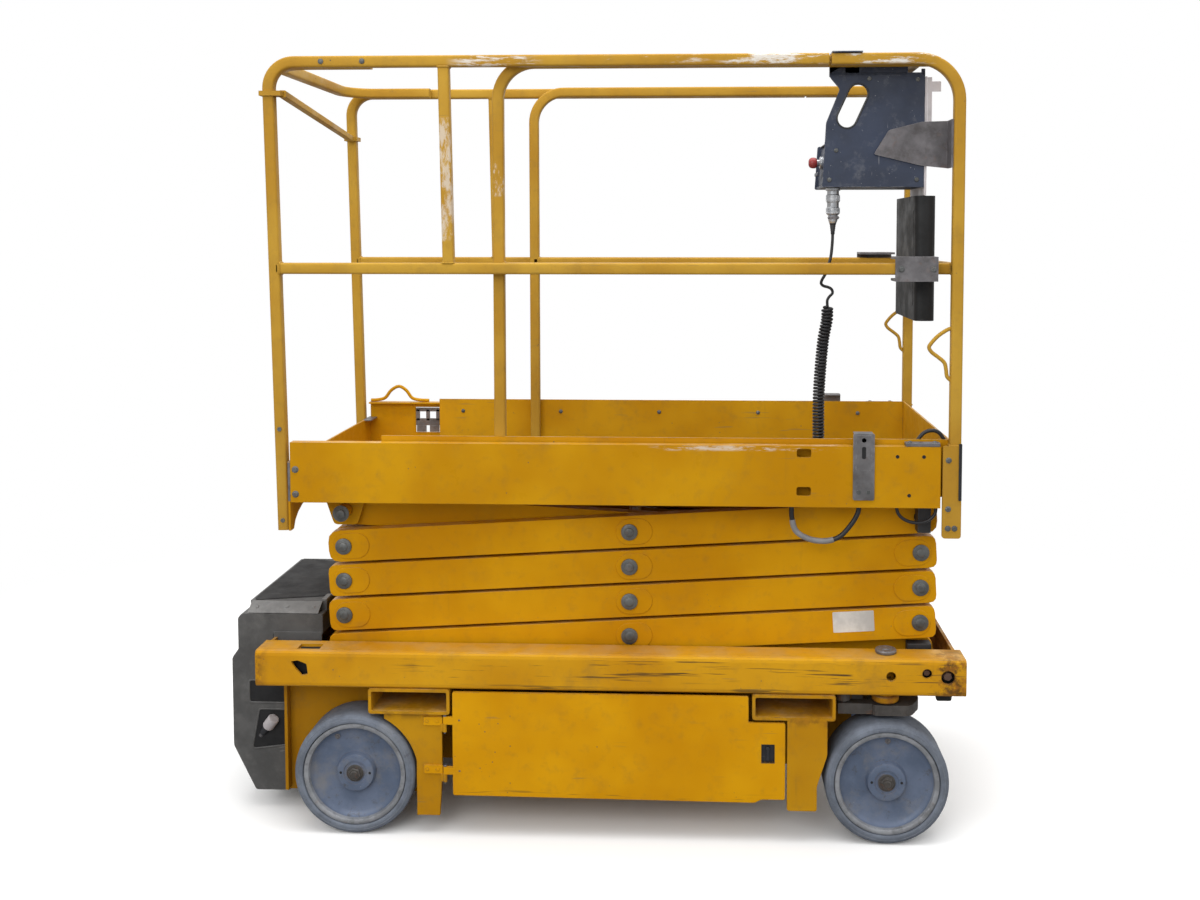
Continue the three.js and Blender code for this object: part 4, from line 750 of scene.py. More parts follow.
# ---------------------------------------------------------------- wheels
def wheel(word):
    low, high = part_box("tyre_" + word)
    sy = -1 if word.endswith("near") else 1
    centre = Vector(((low[0] + high[0]) / 2, 0, (low[2] + high[2]) / 2))
    radius = (high[2] - low[2]) / 2
    outer, inner = (abs(low[1]), abs(high[1])) if sy < 0 else (high[1], low[1])
    outer, inner = max(outer, inner), min(outer, inner)
    out = (0, sy, 0)
    tyre = Part().lathe(centre, out, [
        (0.1308, inner + 0.006), (0.1325, inner + 0.002), (0.136, inner), (0.1405, inner + 0.0006),
        (radius - 0.008, inner + 0.003), (radius - 0.003, inner + 0.008), (radius, inner + 0.016),
        (radius, outer - 0.016), (radius - 0.0012, outer - 0.009), (radius - 0.004, outer - 0.0045),
        (radius - 0.009, outer - 0.0018), (0.1430, outer - 0.0004), (0.1420, outer - 0.0010),
        (0.1410, outer - 0.0004),
        (0.1350, outer), (0.1325, outer - 0.001), (0.1312, outer - 0.004), (0.1308, outer - 0.008),
        (0.1308, inner + 0.006)], 96, caps=False)
    tyre.build("tyre_" + word + "_tread", M["tyre"], "wheel_" + word, smooth=28, slot="tyre_rubber",
               replaces=("tyre_" + word,))
    face = outer - 0.006
    rim = Part().lathe(centre, out, [
        (0.020, inner + 0.022), (0.048, inner + 0.022), (0.060, inner + 0.044), (0.104, inner + 0.034),
        (0.112, inner + 0.006), (0.1302, inner + 0.004), (0.1302, face - 0.002), (0.1180, face - 0.004),
        (0.1155, face - 0.011), (0.1115, face - 0.016), (0.104, face - 0.0195), (0.080, face - 0.0215),
        (0.058, face - 0.0225), (0.0515, face - 0.0215), (0.0490, face - 0.018), (0.0478, face - 0.009),
        (0.0465, face - 0.0068), (0.0440, face - 0.0060), (0.030, face - 0.0060), (0.0285, face - 0.0075),
        (0.0235, face - 0.0078), (0.0225, face - 0.0060), (0.0, face - 0.0060)], 96, caps=False)
    rim.mark = 1
    rim.lathe(centre, out, [
        (0.1300, face - 0.004), (0.1302, face - 0.001), (0.1290, face + 0.0015), (0.1265, face + 0.0024),
        (0.1220, face + 0.0020), (0.1185, face + 0.0004), (0.1168, face - 0.0040), (0.1160, face - 0.0080)],
        96, caps=False)
    rim.build("rim_" + word + "_disc", [M["rim"], M["rim_edge"]], "wheel_" + word, smooth=30,
              slot="rim_paint",
              replaces=("rim_" + word,))
    hub = Part()
    spot = centre + Vector((0, sy * (face - 0.0062), 0))
    hub.lathe(spot, out, [(0.0215, 0), (0.0215, 0.0018), (0.0195, 0.0028), (0.0130, 0.0028)], 36)
    hub.lathe(spot, out, [(0.0165, 0.002), (0.0165, 0.0085), (0.0145, 0.0105)], 6)
    hub.lathe(spot, out, [(0.0085, 0.009), (0.0085, 0.0120), (0.0072, 0.0128)], 20)
    hub.cylinder(spot + Vector((-0.011, sy * 0.0070, 0)), spot + Vector((0.011, sy * 0.0070, 0)), 0.0018, 10)
    # near-black discs for the hub's two holes: painted shade
    hub.mark = 1
    for k in (-1, 1):
        hub.lathe(spot + Vector((k * 0.037, 0, 0)), out, [(0.0034, -0.001), (0.0034, 0.0003)], 18)
    hub.build("hub_" + word, [M["axle"], M["dark"]], "wheel_" + word, smooth=30, slot="rim_paint")
    marks = Part()
    t = math.radians(118 if "rear" in word else 88)
    place = spot + Vector((math.cos(t) * 0.101, -sy * 0.0120, math.sin(t) * 0.101))
    marks.lathe(place, out, [(0.0070, 0), (0.0070, 0.0012), (0.0060, 0.0016)], 20)
    marks.lathe(place, out, [(0.0030, 0.001), (0.0030, 0.0060), (0.0022, 0.0068)], 14)
    marks.build("rim_valve_" + word, M["latch"], "wheel_" + word, smooth=30, slot="rim_paint")


for word in WHEELS:
    wheel(word)


# ---------------------------------------------------------------- guard rails
HALF = 0.014
TUBE = rounded_square(HALF, 0.0055, 4)
TOP, MID = 1.938, 1.431


def rail_run(part, corners, radius=0.09, hint=(0, 1, 0)):
    part.sweep(bent(corners, radius, 14) if radius else corners, TUBE, side_hint=hint)
    return part


def weld(part, centre, axis, half=HALF):
    """A raised weld bead round the end of a tube."""
    centre, axis = Vector(centre), Vector(axis).normalized()
    u = Vector((0, 1, 0)) if abs(axis.y) < 0.9 else Vector((1, 0, 0))
    w = axis.cross(u)
    ring = []
    for a, b in rounded_square(half + 0.0004, 0.006, 5):
        ring.append(centre + u * a + w * b)
    part.tube(ring, 0.0024, 8, closed=True)
    return part


for word, sy in SIDES:
    y = sy * 0.355
    side_rail = Part()
    rail_run(side_rail, [(-0.757, y, 0.775), (-0.779, y, TOP), (0.595, y, TOP)], 0.064)
    lean = 0.757 + 0.022 * (MID - 0.775) / (TOP - 0.775)
    rail_run(side_rail, [(-lean + 0.006, y, MID), (0.783, y, MID)], 0)
    rail_run(side_rail, [(-0.343, y, TOP - 0.013), (-0.335, y, MID + 0.013)], 0)
    weld(side_rail, (-lean + HALF, y, MID), (1, 0, 0))
    weld(side_rail, (-0.3432, y, TOP - HALF), (0, 0, 1))
    weld(side_rail, (-0.3352, y, MID + HALF), (0, 0, 1))
    side_rail.build(f"side_rail_{word}", M["rail"], "platform", smooth=40, slot="yellow_paint",
                    replaces=(f"guard_rail_{word}",))
back = 0.781
end_y = 0.3267
end_rail = rail_run(Part(), [(-0.53, -end_y, TOP), (-back, -end_y, TOP), (-back, end_y, TOP),
                             (-0.53, end_y, TOP)],
                    0.09, hint=(0, 0, 1))
end_rail.build("end_rail", M["rail"], "platform", smooth=40, slot="yellow_paint",
               replaces=("entry_end_rail",))

slide_rail = Part()
for word, sy in SIDES:
    inner, outer = sy * 0.322, sy * 0.355
    rail_run(slide_rail, [(-0.215, inner, 0.8763), (-0.215, inner, TOP), (0.85, inner, TOP)])
    rail_run(slide_rail, [(-0.215, inner, MID), (0.905, inner, MID)], 0)
    rail_run(slide_rail, [(0.601, outer, TOP), (0.91, outer, TOP), (0.91, outer, 0.772)], 0.1)
    slide_rail.box((0.605, inner, TOP - 0.008), (0.645, outer, TOP + 0.008))
    slide_rail.box((0.810, inner, TOP - 0.008), (0.840, outer, TOP + 0.008))
    slide_rail.box((0.898, inner, MID - 0.012), (0.922, outer, MID + 0.012))
    outline = rounded([(0.878, 0.772), (0.924, 0.772), (0.924, 1.0), (0.878, 1.0)], 0.008)
    slide_rail.prism(outline, sy * 0.366, sy * 0.373)
    weld(slide_rail, (-0.215 + HALF, inner, MID), (1, 0, 0))
    weld(slide_rail, (0.91, outer, 1.0), (0, 0, 1))
rail_run(slide_rail, [(0.91, -0.355, MID), (0.91, 0.355, MID)], 0, hint=(0, 0, 1))
rail_run(slide_rail, [(0.81, -0.322, TOP), (0.81, 0.322, TOP)], 0, hint=(0, 0, 1))
for sy in (-1, 1):
    weld(slide_rail, (0.91, sy * (0.355 - HALF), MID), (0, 1, 0))
slide_rail.build("slide_rail", M["rail"], "extension", smooth=40, slot="yellow_paint",
                 replaces=("extension_guard_rail",))


# ---------------------------------------------------------------- scissor stack details
FOLD = math.atan2(0.0897, 1.4720)
REACH = 1.4720
REAR_X, FIRST_Z, RISE = -0.629, 0.445, 0.0897
ARM_OUT = 0.285


def stadium(centre, half_length, half_height, tilt, steps=10):
    out = []
    cos, sin = math.cos(tilt), math.sin(tilt)
    for end, start in ((1, -90), (-1, 90)):
        for k in range(steps + 1):
            t = math.radians(start + 180 * k / steps)
            a = end * (half_length - half_height) + half_height * math.cos(t)
            b = half_height * math.sin(t)
            out.append((centre[0] + a * cos - b * sin, centre[1] + a * sin + b * cos))
    return out


def pivot_cap(part, x, z, sy):
    spot = (x, sy * (ARM_OUT + 0.0034), z)
    part.lathe(spot, (0, sy, 0), [
        (0.0176, -0.0028), (0.0205, -0.0028), (0.0212, 0.0008), (0.0205, 0.0030), (0.0180, 0.0042),
        (0.0150, 0.0046),
        (0.0125, 0.0052), (0.0118, 0.0066), (0.0096, 0.0078), (0.0050, 0.0084), (0.0, 0.0086)], 36,
        caps=False)
    part.lathe((x, sy * (ARM_OUT + 0.0034), z), (0, sy, 0), [(0.0172, 0.0002), (0.0172, 0.0012)], 24)


for k in range(4):
    low = FIRST_Z + k * RISE
    pads, caps = Part(), Part()
    for word, sy in SIDES:
        spots = [(REAR_X, low, 0.020)] if k else []
        spots.append((REAR_X + REACH / 2, low + RISE / 2, 0.012))
        if k < 3:
            spots.append((REAR_X + REACH, low + RISE, -0.020))
        for x, z, shift in spots:
            centre = (x + shift * math.cos(FOLD), z + shift * math.sin(FOLD))
            pads.prism(stadium(centre, 0.047, 0.0335, FOLD), sy * (ARM_OUT - 0.001), sy * (ARM_OUT + 0.0022))
            pivot_cap(caps, x, z, sy)
    pads.build(f"arm_pads_{k + 1}", M["arm"], f"outer_pair_{k + 1}", 0.0018, slot="yellow_paint", segments=3)
    caps.build(f"pivot_caps_{k + 1}", M["bolt"], f"outer_pair_{k + 1}", smooth=40, slot="bright_steel")

# a blank pale label on the lowest outer arm, near side
label_x = 0.676
label_z = FIRST_Z + (label_x - REAR_X) * math.tan(FOLD) + 0.010
along, upward = (math.cos(FOLD), math.sin(FOLD)), (-math.sin(FOLD), math.cos(FOLD))


def tilted(a, b):
    return (label_x + along[0] * a + upward[0] * b, label_z + along[1] * a + upward[1] * b)


label = Part()
label.prism(rounded([tilted(-0.052, -0.0265), tilted(0.052, -0.0265), tilted(0.052, 0.0265), tilted(-0.052,
        0.0265)],
                    0.003), -(ARM_OUT - 0.0005), -(ARM_OUT + 0.0006))
label.build("arm_label", M["decal"], "outer_pair_1", slot="pale_paint")


# lift cylinder: gland, end rings, hose fittings and a hose
foot = Vector((-0.0926, 0, 0.5020))
head = Vector((0.5062, 0, 0.5553))
way = (head - foot).normalized()
length = (head - foot).length
gland = Part()
end = foot + way * (length - 0.085)
gland.lathe(end, way, [(0.0466, -0.030), (0.0480, -0.028), (0.0480, -0.004), (0.0455, 0.0), (0.034, 0.0015),
                       (0.032, 0.006), (0.0275, 0.007), (0.0275, -0.002)], 40, caps=False)
gland.lathe(foot + way * 0.05, way, [(0.0455, -0.001), (0.0475, 0.001), (0.0475, 0.016), (0.0455, 0.018)], 40)
gland.lathe(foot + way * 0.10 + Vector((0, 0, 0.040)), (0, 0, 1), [(0.013, 0), (0.013, 0.010),
        (0.010, 0.012)], 6)
gland.build("cylinder_rings", M["axle"], "cylinder_barrel", 0.0006, slot="black_plastic")
hose = Part()
hose.tube(spline([foot + way * 0.10 + Vector((0, 0, 0.050)), foot + way * 0.10 + Vector((-0.004, 0.006,
        0.064)),
                  foot + way * 0.085 + Vector((0, 0.030, 0.066)), foot + way * 0.06 + Vector((0, 0.052,
                          0.046)),
                  foot + way * 0.04 + Vector((0, 0.062, 0.010))], 30), 0.0055, 12)
hose.build("cylinder_hose", M["cord"], "cylinder_barrel", smooth=80, slot="black_plastic")


# ---------------------------------------------------------------- chassis details
fasteners, painted_shade_inside, chassis_plate = Part(), Part(), Part()
for word, sy in SIDES:
    # tub edge beside the rear wheel, its bolt and a small rivet
    chassis_plate.box((-0.7915, sy * 0.2585, 0.075), (-0.786, sy * 0.283, 0.36))
    fasteners.lathe((-0.772, sy * 0.2582, 0.346), (0, sy, 0), [(0.008, 0), (0.008, 0.003), (0.006, 0.006),
            (0.002, 0.007)], 20)
    fasteners.lathe((-0.735, sy * 0.2582, 0.360), (0, sy, 0), [(0.004, 0), (0.004, 0.002), (0.002, 0.003)],
                    14)
    # dark sheets behind the holes in the beams: painted shade inside the beams
    painted_shade_inside.box((-0.760, sy * 0.352, 0.396), (-0.680, sy * 0.356, 0.456))
    painted_shade_inside.box((0.800, sy * 0.352, 0.396), (0.925, sy * 0.356, 0.456))
    fasteners.hex_bolt((0.846, sy * 0.356, 0.436), (0, sy, 0), 0.015, 0.016, 0.010)
    fasteners.hex_bolt((0.897, sy * 0.356, 0.428), (0, sy, 0), 0.020, 0.020, 0.014)
    # tab that hangs under the front end of the beam, in the same near-black painted shade
    painted_shade_inside.prism(rounded([(0.872, 0.3775), (0.918, 0.3775), (0.914, 0.352), (0.878, 0.352)], 0.006),
                      sy * 0.330, sy * 0.336)
chassis_plate.build("tub_edges", M["chassis"], "chassis", 0.0012, slot="yellow_paint")
painted_shade_inside.build("beam_painted_shade", M["dark"], "chassis", 0.001, slot="black_plastic")

# kingpin caps: round caps with five small heads, on the beams
for word, sy in SIDES:
    cap = Part()
    cap.lathe((0.752, sy * 0.325, 0.4775), (0, 0, 1), [
        (0.0232, -0.007), (0.0262, -0.006), (0.0268, -0.001), (0.0250, 0.0022), (0.0215, 0.0032),
        (0.0195, 0.0026),
        (0.0100, 0.0026), (0.0085, 0.0044), (0.0, 0.0046)], 40, caps=False)
    for t in range(5):
        a = math.radians(20 + 72 * t)
        cap.lathe((0.752 + 0.0150 * math.cos(a), sy * 0.325 + 0.0150 * math.sin(a), 0.479), (0, 0, 1),
                  [(0.0026, 0), (0.0026, 0.0022), (0.0018, 0.0028)], 12)
    cap.build(f"kingpin_cap_{word}", M["latch"], f"knuckle_{word}", smooth=35, slot="grey_paint")

# hinge pins, door latches and hinge leaves
for word, sy in SIDES:
    door = Part()
    face = 0.3796
    for z in (0.160, 0.288):
        door.cylinder((-0.352, sy * 0.375, z - 0.024), (-0.352, sy * 0.375, z + 0.024), 0.0030, 14, 0.001)
        door.lathe((-0.352, sy * 0.375, z + 0.0200), (0, 0, 1), [(0.0046, 0), (0.0046, 0.003),
                (0.0034, 0.004)], 16)
    for x, z in ((-0.315, 0.170), (-0.315, 0.300)):
        door.lathe((x, sy * 0.3792, z), (0, sy, 0), [(0.0045, 0), (0.0040, 0.0006), (0.0025, 0.0008)], 16)
    door.build(f"door_pins_{word}", M["plate_grey"], f"door_{word}", smooth=35, slot="yellow_paint")
    recess = Part()
    recess.box((0.4388, sy * 0.3712, 0.2028), (0.4742, sy * 0.3665, 0.2532))
    recess.lathe((0.4565, sy * 0.3715, 0.238), (0, sy, 0), [(0.0060, 0), (0.0060, 0.004), (0.0048, 0.005)],
                 20)
    recess.prism(rounded([(0.4530, 0.2095), (0.4600, 0.2095), (0.4600, 0.242), (0.4530, 0.242)], 0.002),
                 sy * 0.3712, sy * 0.3770)
    recess.build(f"door_latch_{word}", M["black"], f"door_{word}", 0.0006, slot="black_plastic")
    rim = Part()
    outer = rounded([(0.4365, 0.2005), (0.4765, 0.2005), (0.4765, 0.2555), (0.4365, 0.2555)], 0.006)
    inner = rounded([(0.4402, 0.2042), (0.4728, 0.2042), (0.4728, 0.2518), (0.4402, 0.2518)], 0.0045)
    count = len(outer)
    verts = [(x, sy * 0.3798, z) for x, z in outer] + [(x, sy * 0.3798, z) for x, z in inner]
    verts += [(x, sy * 0.3785, z) for x, z in outer] + [(x, sy * 0.3740, z) for x, z in inner]
    faces = []
    for i in range(count):
        j = (i + 1) % count
        faces += [(i, j, count + j, count + i), (i, 2 * count + i, 2 * count + j, j),
                  (count + i, count + j, 3 * count + j, 3 * count + i)]
    rim.add(verts, faces)
    rim.build(f"door_latch_rim_{word}", M["black"], f"door_{word}", slot="black_plastic")
    # hinge leaves on the post
    leaf = Part()
    for z0, z1 in ((0.159, 0.181), (0.283, 0.305)):
        leaf.prism(rounded([(-0.407, z0), (-0.3585, z0), (-0.3585, z1), (-0.407, z1)], 0.003), sy * 0.3688,
                   sy * 0.3735)
        for x in (-0.398, -0.372):
            leaf.lathe((x, sy * 0.3734, (z0 + z1) / 2), (0, sy, 0), [(0.0042, 0), (0.0038, 0.0012),
                    (0.002, 0.0016)], 16)
    leaf.build(f"hinge_leaves_{word}", M["door"], "chassis", 0.0006, smooth=35, slot="yellow_paint")

fasteners.build("chassis_fasteners", M["rust"], "chassis", smooth=35, slot="bright_steel")

# batteries on the near tray and the hydraulic unit on the far one
low, high = (Vector(v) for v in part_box("battery_block"))
tray = Part()
cell = (high.x - low.x) / 2
for k in range(2):
    x0 = low.x + k * cell
    tray.mark = 0
    tray.prism(rounded([(x0 + 0.004, low.y + 0.002), (x0 + cell - 0.004, low.y + 0.002),
                        (x0 + cell - 0.004, high.y - 0.002), (x0 + 0.004, high.y - 0.002)], 0.008),
               low.z, high.z - 0.030, "XY")
    tray.prism(rounded([(x0 + 0.001, low.y), (x0 + cell - 0.001, low.y), (x0 + cell - 0.001, high.y),
                        (x0 + 0.001, high.y)], 0.008), high.z - 0.032, high.z - 0.010, "XY")
    for n in range(3):
        tray.lathe((x0 + cell * (0.25 + 0.25 * n), (low.y + high.y) / 2, high.z - 0.010), (0, 0, 1),
                   [(0.016, 0), (0.016, 0.003), (0.012, 0.006), (0.004, 0.007)], 20)
    tray.mark = 1
    for n in (0, 1):
        tray.lathe((x0 + cell * (0.14 + 0.72 * n), low.y + 0.03 + 0.13 * n, high.z - 0.010), (0, 0, 1),
                   [(0.010, 0), (0.008, 0.002), (0.007, 0.010)], 18)
tray.mark = 2
for a, b in (((0.86, 0.16), (1.14, 0.03)), ((0.14, 0.03), (0.14, 0.16)), ((1.86, 0.16), (1.86, 0.03))):
    start = Vector((low.x + cell * a[0], low.y + a[1], high.z - 0.004))
    stop = Vector((low.x + cell * b[0], low.y + b[1], high.z - 0.004))
    middle = (start + stop) / 2
    tray.tube(spline([start, start.lerp(middle, 0.5) + Vector((0, 0, 0.002)), middle + Vector((0, 0, 0.001)),
                      stop.lerp(middle, 0.5) + Vector((0, 0, 0.002)), stop], 20), 0.0050, 10)
tray.build("batteries", [M["battery"], M["steel"], M["cord"]], "door_near", 0.0015, smooth=40,
           slot="black_plastic",
           replaces=("battery_block",))
low, high = (Vector(v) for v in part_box("hydraulic_block"))
unit = Part()
mid_y = (low.y + high.y) / 2
unit.prism(rounded([(low.x, low.y), (low.x + 0.27, low.y), (low.x + 0.27, high.y), (low.x, high.y)], 0.018),
           low.z, high.z - 0.012, "XY")
unit.lathe((low.x + 0.07, mid_y, high.z - 0.013), (0, 0, 1), [(0.028, 0), (0.028, 0.010), (0.024, 0.0125)],
           28)
unit.mark = 1
unit.box((low.x + 0.285, mid_y - 0.055, low.z), (low.x + 0.375, mid_y + 0.055, low.z + 0.115))
for k in range(3):
    unit.lathe((low.x + 0.305 + 0.025 * k, mid_y, low.z + 0.114), (0, 0, 1), [(0.010, 0), (0.010, 0.028),
            (0.007, 0.032)], 18)
unit.mark = 2
unit.cylinder((low.x + 0.380, mid_y, low.z + 0.062), (high.x - 0.004, mid_y, low.z + 0.062), 0.056, 36, 0.006)
unit.cylinder((high.x - 0.006, mid_y, low.z + 0.062), (high.x, mid_y, low.z + 0.062), 0.030, 24)
unit.box((low.x + 0.40, mid_y - 0.030, low.z), (high.x - 0.02, mid_y + 0.030, low.z + 0.012))
unit.build("hydraulic_unit", [M["hydraulic"], M["steel"], M["black_metal"]], "door_far", 0.0015, smooth=40,
           slot="grey_paint", replaces=("hydraulic_block",))

# rear cover: ledge, grip panel, side skirts, charging recess with its plug
RECESSES = ([(-0.898, 0.285), (-0.800, 0.285), (-0.800, 0.345), (-0.898, 0.345)],
            [(-0.892, 0.160), (-0.800, 0.172), (-0.800, 0.268), (-0.872, 0.268)])
cover, ledge, grip, recess = Part(), Part(), Part(), Part()
grip.prism(rounded([(-0.898, -0.205), (-0.712, -0.160), (-0.712, 0.160), (-0.898, 0.205)], 0.016), 0.5445,
           0.5475, "XY")
grip.build("cover_grip", M["grip"], "chassis", 0.001, slot="cover_plastic")
ledge.prism(rounded([(-0.9420, 0.4050), (-0.9264, 0.4268), (-0.9238, 0.4258), (-0.9395, 0.4020)], 0.001),
            -0.240, 0.240)
ledge.prism(rounded([(-0.9262, 0.4250), (-0.9262, 0.4700), (-0.9248, 0.4700), (-0.9248, 0.4250)], 0.0005),
            -0.232, 0.232)
for word, sy in SIDES:
    slope = [(sy * 0.2080, 0.5444), (sy * 0.2440, 0.5232), (sy * 0.2440, 0.5246), (sy * 0.2080, 0.5458)]
    ledge.prism(slope if sy < 0 else slope[::-1], -0.900, -0.712, "YZ")
    ledge.prism(rounded([(-0.716, sy * 0.150), (-0.703, sy * 0.150), (-0.703, sy * 0.200),
                         (-0.716, sy * 0.200)][::sy],
                        0.003), 0.5446, 0.5490, "XY")
    for x in (-0.880, -0.800, -0.730):
        ledge.lathe((x, sy * 0.2260, 0.5350), (0, sy * 0.5, 0.86), [(0.0050, 0), (0.0044, 0.0016),
                (0.0020, 0.0022)], 16)
ledge.build("cover_ledge", M["cover_light"], "chassis", 0.0015, slot="cover_plastic")
for word, sy in SIDES:
    face = sy * 0.2462
    # dark slabs in the charging recesses: painted shade
    for outline, corner in zip(RECESSES, (0.006, 0.008)):
        recess.prism(rounded(outline, corner), face, sy * 0.2440)
    # skirt from the cover down to the deck, inside the beam
    cover.box((-0.830, sy * 0.2462, 0.392), (-0.702, sy * 0.2490, 0.476))
cover.build("cover_skirts", M["cover"], "chassis", 0.001, slot="cover_plastic")
recess.build("cover_recess_shade", M["dark"], "chassis", slot="black_plastic")
frame_lines = Part()
for word, sy in SIDES:
    for outline in RECESSES:
        frame_lines.tube([(x, sy * 0.2458, z) for x, z in rounded(outline, 0.008)], 0.0028, 8, closed=True)
frame_lines.build("cover_frames", M["cover"], "chassis", smooth=60, slot="cover_plastic")
plug = Part()
start, stop = Vector((-0.862, -0.246, 0.205)), Vector((-0.818, -0.262, 0.262))
way = (stop - start).normalized()
plug.mark = 1
plug.lathe(start, way, [(0.0070, -0.006), (0.0085, 0.0), (0.0095, 0.004), (0.0095, 0.022),
                        (0.0110, 0.024)], 24)
plug.mark = 0
plug.lathe(start, way, [(0.0135, 0.022), (0.0150, 0.025), (0.0150, 0.052), (0.0135, 0.055),
                        (0.0090, 0.0555)], 28)
plug.mark = 2
plug.lathe(start - way * 0.006, way, [(0.0040, -0.010), (0.0062, -0.008), (0.0062, 0.0)], 18)
plug.build("charging_plug", [M["pale"], M["black"], M["latch"]], "chassis", 0.0006, smooth=40,
           slot="black_plastic")

# short leads behind the front pocket, and seats under the kingpin caps
leads = Part()
for k, (y, dz) in enumerate(((-0.300, 0.0), (-0.290, -0.012), (-0.280, 0.006))):
    leads.mark = (0, 1, 2)[k]
    leads.tube(spline([(0.640, y + 0.06, 0.370 + dz * 0.3), (0.643, y + 0.02, 0.362 + dz),
                       (0.646, y + 0.012, 0.350 + dz),
                       (0.648, y + 0.035, 0.338 + dz * 1.5)], 20), 0.0050, 12)
leads.build("steering_leads", [M["red"], M["blue"], M["cord"]], "chassis", smooth=80, slot="black_plastic")
shield = Part()
for word, sy in SIDES:
    shield.lathe((0.752, sy * 0.325, 0.349), (0, 0, 1), [(0.030, 0.000), (0.034, 0.004), (0.034, 0.014),
                                                         (0.028, 0.0175)], 30)
shield.build("kingpin_seats", M["chassis"], "chassis", 0.001, smooth=35, slot="yellow_paint")


# ---------------------------------------------------------------- platform details
bolts, plates, holes = Part(), Part(), Part()
for word, sy in SIDES:
    # latch strap on the channel, with its slot, screws and folded top
    y0, y1 = sy * 0.3752, sy * 0.3792
    strap = Part()
    strap.prism(rounded([(0.660, 0.866), (0.712, 0.866), (0.712, 1.030), (0.660, 1.030)], 0.005), y0, y1)
    strap.prism(rounded([(0.667, 0.940), (0.705, 0.940), (0.705, 1.026), (0.667, 1.026)], 0.004),
                sy * 0.3790, sy * 0.3799)
    strap.box((0.663, sy * 0.345, 1.0265), (0.709, sy * 0.3785, 1.0300))
    strap.build(f"latch_strap_{word}", M["strap"], "platform", 0.0008, slot="grey_paint")
    # the strap's slot as a dark patch: painted shade
    holes.prism(rounded([(0.681, 0.968), (0.691, 0.968), (0.691, 0.998), (0.681, 0.998)], 0.0045),
                sy * 0.3795, sy * 0.38)
    # small holes in the channel as dark discs: painted shade
    for x, z in ((0.768, 0.9735), (0.832, 0.9735), (0.797, 0.878)):
        holes.lathe((x, sy * 0.3746, z), (0, sy, 0), [(0.0045, 0), (0.0045, 0.0008)], 18)
    for x, z in ((0.674, 0.886), (0.698, 0.886), (0.686, 1.014)):
        bolts.lathe((x, y1, z), (0, sy, 0), [(0.0060, -0.0004), (0.0056, 0.0007)], 18)
    for x, z in ((-0.722, 0.930), (-0.722, 0.868)):
        bolts.hex_bolt((x, sy * 0.3749, z), (0, sy, 0), 0.011, 0.0048, 0.0085)
    # hinge strip on the channel's top edge
    plates.prism(rounded([(0.788, sy * 0.349), (0.872, sy * 0.349), (0.872, sy * 0.3745),
                          (0.788, sy * 0.3745)], 0.003),
                 0.9985, 1.0070, "XY")
    for x in (0.800, 0.860):
        bolts.lathe((x, sy * 0.362, 1.007), (0, 0, 1), [(0.0060, 0), (0.0052, 0.0026), (0.0020, 0.0036)], 16)
    for x in (0.772, 0.850):
        bolts.hex_bolt((x, sy * 0.3743, MID), (0, sy, 0), 0.010, 0.0050, 0.0080)
    # folded top edge of the end plate
    plates.box((-0.7410, sy * 0.300, 0.9470), (-0.7150, sy * 0.3745, 0.9505))
    # caps on the top pins of the stack
    bolts.lathe((-0.629, sy * 0.3055, 0.8038), (0, sy, 0), [(0.021, 0), (0.021, 0.003), (0.012, 0.005),
                                                            (0.012, 0.010), (0.009, 0.012)], 30)
    # screws in the top rail and the rear post
    for x in (-0.644, -0.542):
        bolts.lathe((x, sy * 0.3692, TOP), (0, sy, 0), [(0.0070, -0.001), (0.0066, 0.0018),
                                                        (0.0040, 0.0030)], 16)
    for z in (0.800, 1.030):
        bolts.lathe((-0.757 - 0.0189 * (z - 0.775), sy * 0.3692, z), (0, sy, 0), [(0.0060, -0.001),
                (0.0052, 0.0020)], 16)
    # post gusset at the end plate
    plates.prism(rounded([(-0.741, 0.850), (-0.735, 0.850), (-0.735, 0.948), (-0.741, 0.948)], 0.001),
                 sy * 0.3700, sy * 0.3758)
for sy in (-1, 1):
    for z in (0.805, 0.925):
        bolts.hex_bolt((-0.7415, sy * 0.335, z), (-1, 0, 0), 0.011, 0.005, 0.009)
holes.build("platform_hole_shade", M["dark"], "platform", smooth=35, slot="black_plastic")
plates.build("hinge_strips", M["latch"], "platform", 0.0006, slot="grey_paint")
bolts.build("platform_bolts", M["bolt"], "platform", smooth=35, slot="bright_steel")

# handle loop and latch bracket on the far channel
loop = Part()
loop.tube(spline([(-0.731, 0.362, 1.003), (-0.712, 0.362, 1.004), (-0.688, 0.362, 1.010), (-0.668, 0.362,
        1.034),
                  (-0.644, 0.362, 1.046), (-0.622, 0.362, 1.034), (-0.603, 0.362, 1.010), (-0.578, 0.362,
                          1.004),
                  (-0.551, 0.362, 1.003)], 48), 0.0050, 14)
loop.build("handle_loop", M["channel"], "platform", smooth=80, slot="yellow_paint")
bracket = Part()
for x0, x1 in ((-0.590, -0.560), (-0.550, -0.520)):
    bracket.box((x0, 0.3630, 0.905), (x1, 0.3665, 0.925))
bracket.prism(rounded([(-0.592, 0.925), (-0.518, 0.925), (-0.518, 0.947), (-0.592, 0.947)], 0.003), 0.3630,
              0.3665)
bracket.prism(rounded([(-0.592, 0.968), (-0.518, 0.968), (-0.518, 0.980), (-0.592, 0.980)], 0.003), 0.3630,
              0.3665)
for x0, x1 in ((-0.592, -0.580), (-0.561, -0.549), (-0.530, -0.518)):
    bracket.box((x0, 0.3630, 0.940), (x1, 0.3665, 0.975))
bracket.build("far_latch_bracket", M["latch"], "platform", 0.0008, slot="grey_paint")
